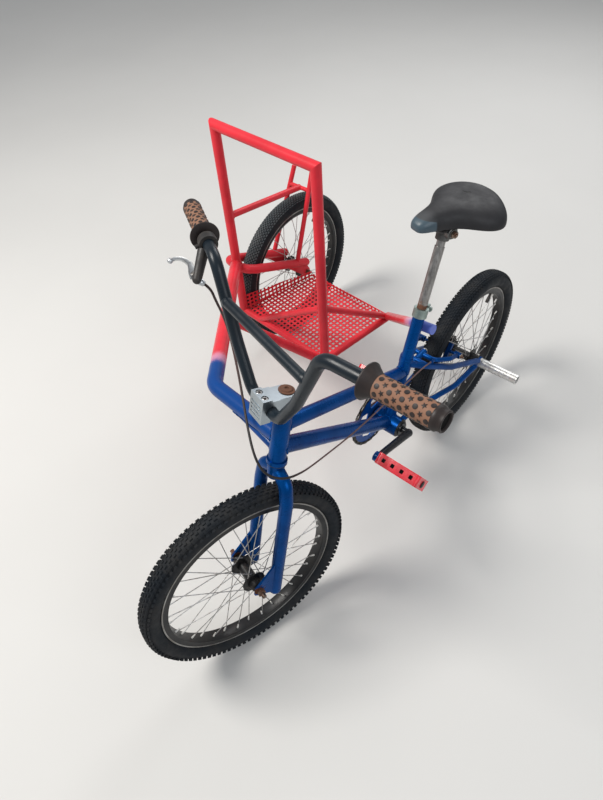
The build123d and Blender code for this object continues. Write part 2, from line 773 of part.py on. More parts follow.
def crank():
    """A one-piece crank: spindle, two arms, bearing cones and the pedals' spindles."""
    body = rod(BB - Vector(CRANK_X, 0, 0), BB + Vector(CRANK_X, 0, 0), 8.5)
    cone_in = BB_HALF + SEAT_GAP
    ring_in = -CHAIN_X - RING_T / 2 - SEAT_GAP
    ring_out = -CHAIN_X + RING_T / 2 + SEAT_GAP
    body = body + rod(BB + Vector(cone_in, 0, 0), BB + Vector(cone_in + 7, 0, 0), 18)
    body = body + rod(BB - Vector(ring_in, 0, 0), BB - Vector(cone_in, 0, 0), 18)
    body = body + rod(BB - Vector(ring_out + 4, 0, 0), BB - Vector(ring_out, 0, 0), 17)
    for side in (1, -1):
        arm = crank_arm_dir(side)
        root = BB + Vector(side * CRANK_X, 0, 0)
        eye = BB + Vector(side * (CRANK_X + 3), 0, 0) + arm * CRANK_LENGTH
        body = body + Sphere(11).moved(Location(root)) + taper(root, eye, 10.5, 8.5)
        boss = rod(eye - Vector(8, 0, 0), eye + Vector(8, 0, 0), 12.5)
        pin_end = Vector(side * (PEDAL_START + PEDAL_LENGTH - 10), eye.Y, eye.Z)
        body = body + boss + rod(eye, pin_end, AXLE_R)
    return body.solid()


def pedal(side):
    """A resin platform pedal with four windows through it and notched long edges."""
    arm = crank_arm_dir(side)
    centre = BB + arm * CRANK_LENGTH + Vector(side * (PEDAL_START + PEDAL_LENGTH / 2), 0, 0)
    depth_dir = side_dir(PEDAL_TILT)
    normal = Vector(1, 0, 0).cross(depth_dir)
    plane = Plane(origin=centre, x_dir=Vector(1, 0, 0), z_dir=normal)
    outline = RectangleRounded(PEDAL_LENGTH, PEDAL_DEPTH, 8)
    rib = 9.0
    window_x = (PEDAL_LENGTH - 3 * rib) / 2
    window_y = (PEDAL_DEPTH - 2 * rib - 24) / 2
    for sx in (1, -1):
        for sy in (1, -1):
            spot = Pos(sx * (rib + window_x) / 2, sy * (24 + window_y) / 2)
            outline = outline - spot * Rectangle(window_x, window_y)
    for i in range(4):
        x = (i - 1.5) * PEDAL_LENGTH / 4.6
        for sy in (1, -1):
            outline = outline - Pos(x, sy * PEDAL_DEPTH / 2) * Rectangle(9, 6)
    body = extrude(plane.offset(-PEDAL_T / 2) * outline, PEDAL_T)
    reach = Vector(PEDAL_LENGTH, 0, 0)
    return whole(body - rod(centre - reach, centre + reach, AXLE_R + BEARING_GAP))


def freewheel():
    """The rear sprocket and its body, fixed to the hub."""
    radius = pitch_radius(COG_TEETH) - CHAIN_H / 2 - SEAT_GAP
    low = -(REAR_FLANGE_X + HUB_FLANGE_T / 2)
    points = [
        (low, HUB_BARREL_R + 3),
        (low, HUB_BARREL_R + 8),
        (CHAIN_X + RING_T / 2, HUB_BARREL_R + 8),
        (CHAIN_X + RING_T / 2, radius),
        (CHAIN_X - RING_T / 2, radius),
        (CHAIN_X - RING_T / 2, HUB_BARREL_R + 3),
    ]
    return turned(points, REAR_AXLE, Vector(1, 0, 0))


def rear_peg():
    """The thick tube screwed on the left end of the rear axle."""
    start_x = REAR_OLN / 2 + DROPOUT_T + 2 * SEAT_GAP
    start = REAR_AXLE + Vector(start_x, 0, 0)
    end = vec(PEG_END_X, 0, WHEEL_R)
    hollow = rod(start + Vector(PEG_FLOOR, 0, 0), end + Vector(1, 0, 0), PEG_R - PEG_WALL)
    body = rod(start, end, PEG_R) - hollow
    return whole(body - rod(start - Vector(1, 0, 0), end, AXLE_R))


PEG_R = 13.5
PEG_WALL = 3.0
PEG_FLOOR = 10.0
PEG_END_X = 176.0


def rear_axle():
    """The rear axle: its left end is hidden in the peg, its right end has a nut."""
    right = -(REAR_OLN / 2 + DROPOUT_T + 2 * SEAT_GAP)
    bar = rod(vec(right - 16, 0, WHEEL_R), vec(-right + 24, 0, WHEEL_R), AXLE_R)
    nut = Plane(origin=vec(right, 0, WHEEL_R), z_dir=Vector(-1, 0, 0)) * RegularPolygon(AXLE_NUT_R, 6)
    lock_at = vec(-right + PEG_FLOOR, 0, WHEEL_R)
    lock = Plane(origin=lock_at, z_dir=Vector(1, 0, 0)) * RegularPolygon(AXLE_NUT_R, 6)
    return whole(bar + extrude(nut, AXLE_NUT_T) + extrude(lock, AXLE_NUT_T))


CABLE_R = 2.5
CABLE_FROM_BAR = (
    # from the middle of the handlebar's clamp
    (-192.57, 58.15, 147.59),
    (-186.27, 65.15, 137.24),
    (-183.5, 68.95, 107.0),
    (-184.9, 78.15, 71.0),
    (-177.8, 78.55, 37.0),
    (-162.1, 69.75, 0.0),
)
CABLE_ROUND_HEAD = (
    # from the lower end of the head tube
    (-128.9, 45.62, 109.64),
    (-97.4, 20.42, 83.64),
    (-55.2, -13.98, 63.64),
    (-20.9, -38.78, 45.64),
    (3.5, -50.38, 31.64),
    (23.4, -51.58, 21.64),
    (39.7, -43.08, 14.64),
    (51.6, -27.58, 7.64),
    (57.6, -3.88, -0.36),
    (59.8, 23.42, -9.36),
)
CABLE_TO_BRAKE = (
    # from the middle of the stays' bridge
    (57.4, -402.83, 94.04),
    (53.0, -328.43, 70.04),
    (47.1, -244.03, 49.04),
    (40.1, -149.23, 33.04),
    (40.2, -64.73, 25.04),
    (40.8, -29.23, 23.04),
    (44.3, -4.03, 22.04),
)
BRIDGE_SHARE = 0.162
BRIDGE_SET_UP = 2.6
BRIDGE_R = 6.5
BRIDGE_HALF = 34.0
BRAKE_ARM_BACK = 26.0
BRAKE_ARM_X = (38.0, 56.0, 54.0)
BRAKE_ARM_R = 6.0
BRAKE_BOSS_R = 8.5
SHOE_X = 26.5
SHOE_SIZE = (10.0, 42.0, 11.0)
RADIAL_AT_SHOE = Vector(0, -0.724, 0.69)


def bridge_middle():
    """The middle of the short tube between the upper stays."""
    return on_stay(BRIDGE_SHARE, 0.0, BRIDGE_SET_UP)


def rear_brake(bridge):
    """A side-pull caliper: pivot, two curved arms and a shoe on each side of the rim."""
    top_x, knee_x, shoe_x = BRAKE_ARM_X
    top = bridge_middle() + Vector(0, BRAKE_ARM_BACK, 0)
    shoe = REAR_AXLE + RADIAL_AT_SHOE * (RIM_BED_R - 4)
    knee_at = (top + shoe) * 0.5 + Vector(knee_x, 0, 1.5)
    left = [top + Vector(top_x, 0, 0), knee_at, shoe + Vector(shoe_x, 0, 0)]
    right = [vec(-p.X, p.Y, p.Z) for p in left]
    pieces = [bent_rod(right[::-1] + left, (30, 18, 18, 30), BRAKE_ARM_R)]
    for side, end in ((1, left[-1]), (-1, right[-1])):
        shoe_at = vec(side * SHOE_X, end.Y, end.Z)
        half = Vector(BRAKE_BOSS_R, 0, 0)
        pieces.append(rod(end - half, end + half, BRAKE_BOSS_R))
        pieces.append(rod(end, shoe_at, 4))
        pieces.append(block(shoe_at, *SHOE_SIZE, z_dir=RADIAL_AT_SHOE))
    knee = left[0] + Vector(-2, 0, 1)
    pieces.append(rod(knee, cable_points()[-1] + Vector(0, 3, -3), 4))
    stud = rod(bridge_middle() + Vector(0, 3, 0), top + Vector(0, 12, 0), 8)
    return cope(stud.fuse(*pieces), bridge)


def seat_bridge():
    """The short cross tube between the upper stays, with the caliper's nut on its front."""
    centre = bridge_middle()
    half = Vector(BRIDGE_HALF, 0, 0)
    nut_face = centre - Vector(0, BRIDGE_R - 1, 0)
    return rod(centre - half, centre + half, BRIDGE_R) + rod(nut_face, nut_face - Vector(0, 7, 0), 7)


# Sidecar
OUTRIGGER_ROOT_UP = 49.7
OUTRIGGER_BEND_AT = (-215.0, 24.0, -18.0)
OUTRIGGER_END_UP = 181.0
OUTRIGGER_SHORT = 8.0
OUTRIGGER_BEND = 60.0
GUSSET_ROOT_UP = 16.6
GUSSET_END = (-150.0, 11.0, -15.0)
STRUT_SHARE = 0.4676
STRUT_END = (-4.0, -8.0, 1.0)
LINK_ROOT = (6.0, -5.0, 11.0)
LINK_SEAT_UP = 257.7
LINK_BEND_AT = (-6.0, 33.3, 0.0)
LINK_END = (32.0, 30.8, 6.0)
BRACE_UP = 197.0
DIAGONAL_IN = 73.0
OUTER_BRACE_UP = 345.0
FORK_TIP = (2.3, 36.0)
FORK_PLATE = ((-90.7, 67.0), (-1.7, 36.0), (15.0, 4.0), (12.0, -12.0), (-10.0, -14.0), (-22.0, 0.0))
FORK_TILT = 25.0
STRUT_FOOT = (-40.7, 65.0)
STRUT_TOP = (65.3, WHEEL_R + 77.0)
STRUT_TOP_SPREAD = 36.0
STRUT_TOP_SHIFT = 6.0
STRUT_SPREAD = 52.0
BRIDGE_UP = 0.8


def outrigger_points():
    """The outrigger's line: out from the head tube, then back to the hoop's outer leg."""
    root = on_head(HEAD_LOW_UP + OUTRIGGER_ROOT_UP, -3.35)
    return [root, root + Vector(*OUTRIGGER_BEND_AT), vec(*HOOP_OUTER) + Vector(1, -2, OUTRIGGER_END_UP)]


def gusset():
    """The thinner tube that braces the outrigger's root from below."""
    start = on_head(HEAD_LOW_UP + GUSSET_ROOT_UP, -0.8)
    return rod(start, outrigger_points()[0] + Vector(*GUSSET_END), GUSSET_R)


def front_strut():
    """The strut from the middle of the outrigger's second run to the hoop's inner foot."""
    bend, end = outrigger_points()[1:]
    return rod(bend + (end - bend) * STRUT_SHARE, vec(*HOOP_INNER) + Vector(*STRUT_END), FRONT_STRUT_R)


def link_tube():
    """The tube from the pan's rear corner up to the seat tube, with a flatter end."""
    seat = on_seat(LINK_SEAT_UP)
    start = vec(PAN_REAR_INNER[0], PAN_REAR_INNER[1], PAN_Z) + Vector(*LINK_ROOT)
    return bent_rod([start, seat + Vector(*LINK_BEND_AT), seat + Vector(*LINK_END)], 20, LINK_R)


def outrigger(head, leg):
    """The big bent tube that carries the sidecar from the head tube."""
    points = outrigger_points()
    last_run = (points[-1] - points[-2]).normalized()
    points[-1] = points[-1] - last_run * OUTRIGGER_SHORT
    return cope(bent_rod(points, OUTRIGGER_BEND, OUTRIGGER_R), head, leg)


def side_fork(leg):
    """A second fork laid on its side, with its crown welded to the hoop's outer leg."""
    tilt = math.radians(FORK_TILT)
    back = Vector(0, math.cos(tilt), -math.sin(tilt))
    tip_y = SIDE_Y + FORK_TIP[0]
    tip_z = WHEEL_R + FORK_TIP[1]
    length = (tip_y - HOOP_OUTER[1]) / math.cos(tilt)
    body = None
    for side in (1, -1):
        tip = vec(SIDE_X + side * LEG_X, tip_y, tip_z)
        crown = vec(HOOP_OUTER[0], tip.Y, tip.Z) - back * length
        shoulder = tip - back * (length - 52)
        bend = vec(SIDE_X + side * (LEG_X - 8), shoulder.Y, shoulder.Z) - back * 34
        arm = bent_rod([crown, bend, shoulder, tip], (22, 40), LEG_R)
        arm = arm + Sphere(LEG_R).moved(Location(tip))
        inner = FRONT_OLN / 2 + SEAT_GAP
        inner = inner if side > 0 else -inner - DROPOUT_T
        outline = [SIDE_AXLE + Vector(inner, back_by, up_by) for back_by, up_by in FORK_PLATE]
        web = sheet(outline, Vector(DROPOUT_T, 0, 0))
        arm = arm + web
        body = arm if body is None else body + arm
    bore = rod(SIDE_AXLE - Vector(80, 0, 0), SIDE_AXLE + Vector(80, 0, 0), AXLE_R)
    return cope(body, bore, leg)


def side_strut_line(side):
    """The foot and top of one upper strut behind the sidecar's wheel."""
    foot = SIDE_AXLE + Vector(side * STRUT_SPREAD, *STRUT_FOOT)
    top = SIDE_AXLE + Vector(STRUT_TOP_SHIFT + side * STRUT_TOP_SPREAD, *STRUT_TOP)
    return foot, top


def side_bridge():
    """The cross tube between the two upper struts, and its middle."""
    ends = []
    for side in (1, -1):
        foot, top = side_strut_line(side)
        ends.append(foot + (top - foot) * BRIDGE_UP)
    return rod(ends[0], ends[1], STRUT_R - 1), (ends[0] + ends[1]) / 2


def pan_corners():
    """The floor's corners: front outer, front inner, rear inner, rear outer."""
    spots = (HOOP_OUTER[:2], HOOP_INNER[:2], PAN_REAR_INNER, PAN_REAR_OUTER)
    return [vec(x, y, PAN_Z) for x, y in spots]


def inside(point, corners, margin):
    """Whether a point of the floor lies within its outline by a margin."""
    up = Vector(0, 0, 1)
    ends = corners[1:] + corners[:1]
    return all((point - a).dot(up.cross(b - a).normalized()) > margin for a, b in zip(corners, ends))


def pan(cutters):
    """The folded sheet: a perforated floor and outer wall and a low rear lip."""
    corners = pan_corners()
    a, b, c, d = corners
    middle = (a + b + c + d) * 0.25
    grid = Plane(origin=middle, x_dir=b - a, z_dir=Vector(0, 0, 1))
    body = extrude(make_face(Polyline(a, b, c, d, close=True)), PAN_SHEET_T)
    wall_front = a + (d - a) * 0.03
    body = body + wall_plate(wall_front, d, PAN_WALL_H, PAN_WALL_REAR_H)
    body = body + wall_plate(d, c + (d - c) * 0.08, PAN_LIP_H, PAN_LIP_END_H)
    holes = []
    for spot in GridLocations(PAN_PITCH, PAN_PITCH, PAN_COLUMNS, PAN_ROWS):
        centre = grid.from_local_coords(spot.position)
        if inside(centre, corners, PAN_RIM):
            holes.append(block(centre, PAN_HOLE, PAN_HOLE, 4 * PAN_SHEET_T, x_dir=b - a))
    along = (d - wall_front).normalized()
    count = int((d - wall_front).length / PAN_PITCH) - 1
    for i in range(1, count):
        centre = wall_front + along * PAN_PITCH * i + Vector(0, 0, PAN_WALL_REAR_H / 2 + 4)
        holes.append(block(centre, PAN_HOLE, 6 * PAN_SHEET_T, PAN_HOLE * 0.6, x_dir=along))
    body = body - holes
    return cope(body, *cutters)


def wall_plate(start, end, start_h, end_h):
    """A thin upright plate on the sheet's edge whose height changes along it."""
    up = Vector(0, 0, 1)
    across = (end - start).cross(up).normalized()
    return sheet([start, end, end + up * end_h, start + up * start_h], across * PAN_SHEET_T)


def cable_points():
    """The cable's route: from the lever, round the head tube and along the frame to the caliper."""
    points = [on_bar(p) for p in CABLE_FROM_BAR]
    points += [on_head(HEAD_LOW_UP) + Vector(*p) for p in CABLE_ROUND_HEAD]
    return points + [bridge_middle() + Vector(*p) for p in CABLE_TO_BRAKE]


def cable():
    """The rear brake's cable along its real route, with arcs as large as its runs allow."""
    points = cable_points()
    radii = []
    for before, here, after in zip(points, points[1:], points[2:]):
        turn = math.radians((here - before).get_angle(after - here))
        run = min((here - before).length, (after - here).length)
        radii.append(0.45 * run / math.tan(turn / 2))
    return bent_rod(points, radii, CABLE_R)


PARTS = {}


def build_wheels():
    """Three wheels of the same size; the front one turns with the steering."""
    spots = (
        ("rear", wheel_place(REAR_AXLE), REAR_FLANGE_X, REAR_OLN),
        ("side", wheel_place(SIDE_AXLE), FRONT_FLANGE_X, FRONT_OLN),
        ("front", wheel_place(AXLE_STRAIGHT), FRONT_FLANGE_X, FRONT_OLN),
    )
    for name, place, flange_x, oln in spots:
        pieces = {"tyre": tyre(place), "rim": rim(place), "hub": hub_and_spokes(place, flange_x, oln)}
        if name == "rear":
            pieces["hub"] = cope(pieces["hub"] + freewheel())
        for kind, shape in pieces.items():
            PARTS[name + "_" + kind] = steered(shape) if name == "front" else shape


def build_frame():
    """The bicycle's own tubes and what is fixed to them."""
    shell = bottom_bracket()
    head = head_tube()
    seat = seat_tube(shell)
    PARTS["bottom_bracket"] = shell
    PARTS["head_tube"] = head
    PARTS["seat_tube"] = seat
    top_front = on_head(HEAD_LOW_UP + HEAD_LENGTH - TOP_TUBE_HEAD_DROP)
    top_tube = rod(top_front, on_seat(TOP_TUBE_SEAT_UP), TOP_TUBE_R)
    PARTS["top_tube"] = cope(top_tube, head, seat)
    down_front = on_head(HEAD_LOW_UP + DOWN_TUBE_HEAD_RISE)
    PARTS["down_tube"] = cope(rod(down_front, BB, DOWN_TUBE_R), head, shell, seat)
    lower = [cope(chain_stay(side, shell), PARTS["down_tube"], seat) for side in (1, -1)]
    upper = [seat_stay(side, seat, stay) for side, stay in zip((1, -1), lower)]
    PARTS["chain_stays"] = group(*lower)
    PARTS["seat_stays"] = group(*upper, seat_bridge())
    PARTS["rear_brake"] = rear_brake(PARTS["seat_stays"])
    PARTS["rear_axle"] = rear_axle()
    PARTS["rear_peg"] = rear_peg()
    PARTS["seat_clamp"] = seat_clamp()
    PARTS["seatpost"] = seatpost()
    PARTS["saddle_clamp"] = saddle_clamp()
    PARTS["saddle"] = saddle()
    PARTS["chain"] = chain()
    PARTS["brake_cable"] = cable()


def build_steering():
    """Everything that turns with the handlebar."""
    inner = FRONT_OLN / 2 + DROPOUT_T + SEAT_GAP
    PARTS["fork"] = steered(fork())
    PARTS["front_axle"] = steered(axle_set(AXLE_STRAIGHT, 72, inner))
    bar = handlebar()
    upper = {
        "stem": stem(),
        "stem_cap": stem_cap(),
        "stem_bolt": stem_bolt(),
        "handlebar": bar,
        "handlebar_crossbar": crossbar(bar),
        "grip_left": grip(1),
        "grip_right": grip(-1),
        "brake_lever": brake_lever(),
        "brake_blade": brake_blade(),
    }
    for name, shape in upper.items():
        PARTS[name] = steered_bar(shape)


def build_drive():
    """The crank set and its pedals."""
    PARTS["crank"] = crank()
    PARTS["chainring"] = chainring()
    PARTS["pedal_left"] = pedal(1)
    PARTS["pedal_right"] = pedal(-1)


def build_sidecar():
    """The welded red frame, its pan and the tubes that join it to the bicycle."""
    hoop = hoop_parts()
    outer = hoop["outer"]
    inner = hoop["inner"]
    PARTS["hoop"] = group(*hoop.values())
    arm = cope(outrigger(PARTS["head_tube"], outer), PARTS["down_tube"])
    PARTS["outrigger"] = group(arm, cope(gusset(), PARTS["head_tube"], PARTS["down_tube"]))
    PARTS["front_strut"] = cope(front_strut(), arm, inner)
    edge_z = PAN_Z - 2
    corner = vec(PAN_REAR_INNER[0], PAN_REAR_INNER[1], edge_z)
    outer_end = vec(HOOP_OUTER[0], HOOP_OUTER[1], edge_z)
    inner_end = vec(HOOP_INNER[0], HOOP_INNER[1], edge_z)
    front_edge = rod(outer_end, inner_end, PAN_EDGE_R)
    front_edge = cope(front_edge, outer, inner, PARTS["front_strut"])
    inner_edge = rod(inner_end, corner, PAN_EDGE_R)
    inner_edge = cope(inner_edge, inner, PARTS["front_strut"], front_edge)
    PARTS["pan_edges"] = group(front_edge, inner_edge)
    link = cope(link_tube(), inner_edge, PARTS["seat_tube"])
    PARTS["link_tube"] = link
    joint = vec(*HOOP_INNER) + Vector(0, 0, BRACE_UP)
    diagonal_foot = vec(HOOP_OUTER[0] + DIAGONAL_IN, HOOP_OUTER[1] - 4.5, edge_z)
    diagonal = cope(rod(diagonal_foot, joint, BRACE_R), front_edge, inner)
    brace = rod(corner + Vector(0, 0, 6), joint, BRACE_R)
    PARTS["hoop_braces"] = group(diagonal, cope(brace, inner, diagonal, inner_edge, link))
    carrier = side_fork(outer)
    carrier = cope(carrier, arm)
    PARTS["side_fork"] = carrier
    struts = []
    for side in (1, -1):
        foot, top = side_strut_line(side)
        struts.append(cope(rod(foot, top, STRUT_R), carrier))
    bridge, middle = side_bridge()
    start = HOOP_OUTER_FOOT + (HOOP_OUTER_TOP - HOOP_OUTER_FOOT) * (OUTER_BRACE_UP / HOOP_HEIGHT)
    PARTS["side_struts"] = group(*struts, bridge, cope(rod(start, middle, BRACE_R), outer))
    PARTS["side_axle"] = axle_set(SIDE_AXLE, 68, FRONT_OLN / 2 + DROPOUT_T + SEAT_GAP)
    cutters = [outer, inner, front_edge, inner_edge, carrier, PARTS["side_axle"], link]
    cutters += [PARTS["hoop_braces"], PARTS["front_strut"]]
    PARTS["pan"] = pan(cutters)


def settle():
    """Moves everything so that the middle of its footprint's box is the origin."""
    boxes = [shape.bounding_box() for shape in PARTS.values()]
    low_x, low_y, low_z = [min(getattr(b.min, k) for b in boxes) for k in "XYZ"]
    high_x, high_y = [max(getattr(b.max, k) for b in boxes) for k in "XY"]
    shift = Vector(-(low_x + high_x) / 2, -(low_y + high_y) / 2, -low_z)
    for name, shape in PARTS.items():
        PARTS[name] = shape.moved(Location(shift))


if __name__ == "__main__":
    build_wheels()
    build_frame()
    build_steering()
    build_drive()
    build_sidecar()
    settle()
    os.makedirs("parts", exist_ok=True)
    for name, shape in PARTS.items():
        export_step(shape, "parts/" + name + ".step")
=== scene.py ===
"""The looks of a small bicycle with a welded sidecar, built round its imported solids."""

import logging
import math
from collections.abc import Iterator
from contextlib import contextmanager
from dataclasses import dataclass, field
from enum import Enum

import bmesh
import bpy
from mathutils import Matrix, Vector

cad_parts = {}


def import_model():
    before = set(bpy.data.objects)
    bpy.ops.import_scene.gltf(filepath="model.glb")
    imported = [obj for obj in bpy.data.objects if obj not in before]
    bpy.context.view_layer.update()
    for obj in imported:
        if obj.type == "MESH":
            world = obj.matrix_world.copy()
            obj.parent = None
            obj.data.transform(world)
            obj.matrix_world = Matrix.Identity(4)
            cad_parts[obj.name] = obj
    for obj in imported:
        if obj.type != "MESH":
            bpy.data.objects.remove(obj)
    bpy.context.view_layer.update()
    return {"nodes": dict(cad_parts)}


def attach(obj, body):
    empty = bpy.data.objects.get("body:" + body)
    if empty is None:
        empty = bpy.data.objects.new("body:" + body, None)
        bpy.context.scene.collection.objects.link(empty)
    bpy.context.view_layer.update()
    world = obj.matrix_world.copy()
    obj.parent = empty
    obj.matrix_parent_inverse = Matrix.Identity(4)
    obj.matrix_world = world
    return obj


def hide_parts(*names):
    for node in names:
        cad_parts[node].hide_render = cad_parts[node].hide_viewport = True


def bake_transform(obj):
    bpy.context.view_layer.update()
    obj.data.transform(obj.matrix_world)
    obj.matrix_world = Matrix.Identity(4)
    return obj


LOG = logging.getLogger("sidecar_bicycle")

Triple = tuple[float, float, float]
Face = tuple[int, ...]
Profile = list[tuple[float, float]]
Socket = bpy.types.NodeSocket

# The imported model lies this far, in millimetres, from the axes used here:
# +X to the rider's left, +Y to the rear, +Z up, rear axle at X0 Y0.
SHIFT = Vector((201.445, 424.604, 0.0))
MM = 0.001
LEFT = Vector((1.0, 0.0, 0.0))
BACK = Vector((0.0, 1.0, 0.0))
UP = Vector((0.0, 0.0, 1.0))
SIDES = (-1.0, 1.0)
WELD_GAP = 1e-6
SHEET_GAP = 1e-5
CUT_GAP = 1e-7

WHEEL_R = 253.0
WHEELBASE = 888.0
HEAD_ANGLE = math.radians(73.26)
SEAT_ANGLE = math.radians(70.85)
HEAD_DIR = Vector((0.0, math.cos(HEAD_ANGLE), math.sin(HEAD_ANGLE)))
SEAT_DIR = Vector((0.0, math.cos(SEAT_ANGLE), math.sin(SEAT_ANGLE)))
HEAD_FORWARD = Vector((0.0, -HEAD_DIR.z, HEAD_DIR.y))
FORK_OFFSET = 37.0
STEER_FOOT = Vector((0.0, -WHEELBASE, WHEEL_R)) - HEAD_FORWARD * FORK_OFFSET
STEER_REST = math.radians(-14.8)
BAR_SKEW = math.radians(-1.6)
BAR_ROLL = math.radians(1.4)
BAR_ROLL_UP = 450.0
SADDLE_YAW = math.radians(16.0)
BB = Vector((0.0, -368.3, 294.6))
REAR_AXLE = Vector((0.0, 0.0, WHEEL_R))
SIDE_AXLE = Vector((-674.6, 30.7, WHEEL_R))


def about(point: Vector, axis: Vector, angle: float) -> Matrix:
    """The turn by an angle about an axis through a point.

    Args:
        point: A point on the axis, in millimetres.
        axis: The axis's direction.
        angle: The angle in radians.

    Returns:
        The matrix of the turn.
    """
    return Matrix.Translation(point) @ Matrix.Rotation(angle, 4, axis) @ Matrix.Translation(-point)


STEER_TURN = about(STEER_FOOT, HEAD_DIR, STEER_REST)
BAR_TURN = about(STEER_FOOT, HEAD_DIR, STEER_REST + BAR_SKEW) @ about(
    STEER_FOOT + HEAD_DIR * BAR_ROLL_UP, BACK, BAR_ROLL
)
BAR_AIM = BAR_TURN.to_3x3()
FRONT_AXLE = STEER_TURN @ Vector((0.0, -WHEELBASE, WHEEL_R))
FRONT_AXLE_X = STEER_TURN.to_3x3() @ LEFT
TO_PACKED = Matrix.Translation(SHIFT * MM) @ Matrix.Scale(MM, 4)


def on_head(up: float, forward: float = 0.0, across: float = 0.0) -> Vector:
    """A point along the steering axis, ahead of it and across it, before it is turned."""
    return STEER_FOOT + HEAD_DIR * up + HEAD_FORWARD * forward + LEFT * across


def row(point: Vector | Triple) -> Vector:
    """A point of these axes, in millimetres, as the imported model's metres."""
    return (Vector(point) + SHIFT) * MM


class Body(Enum):
    """The rigid bodies that pieces ride on."""

    FRAME = "frame"
    STEERING = "steering"
    FRONT_WHEEL = "front_wheel"
    REAR_WHEEL = "rear_wheel"
    SIDE_WHEEL = "side_wheel"
    PEDAL_LEFT = "pedal_left"
    PEDAL_RIGHT = "pedal_right"


class Smooth(Enum):
    """The angle in degrees up to which a piece's edges are shaded smooth."""

    FLAT = 0.0
    ROUND = 180.0
    EDGES = 35.0


RUST_DARK: Triple = (0.060, 0.026, 0.016)
RUST_LIGHT: Triple = (0.17, 0.070, 0.036)
DUST: Triple = (0.20, 0.15, 0.105)
BLUE: Triple = (0.0005, 0.060, 0.25)
BLUE_DEEP: Triple = (0.0005, 0.034, 0.15)
RED: Triple = (0.70, 0.030, 0.046)
RED_DEEP: Triple = (0.52, 0.024, 0.034)
PINK: Triple = (0.66, 0.34, 0.47)


@dataclass(frozen=True)
class Spot:
    """A ball in which a finish is worn, rusted or dusty."""

    centre: Triple
    inner: float
    outer: float


def add_node(
    tree: bpy.types.NodeTree, kind: str, inputs: dict[str | int, object], **settings: object
) -> bpy.types.Node:
    """Adds a node to a tree, sets it up and feeds its inputs.

    Args:
        tree: The tree that takes the node.
        kind: The node's type.
        inputs: A value or another node's result for each input, by its name or number.
        settings: The node's own settings.

    Returns:
        The new node.
    """
    node = tree.nodes.new(kind)
    for key, value in settings.items():
        setattr(node, key, value)
    for key, value in inputs.items():
        if isinstance(value, Socket):
            tree.links.new(value, node.inputs[key])
        else:
            node.inputs[key].default_value = value
    return node


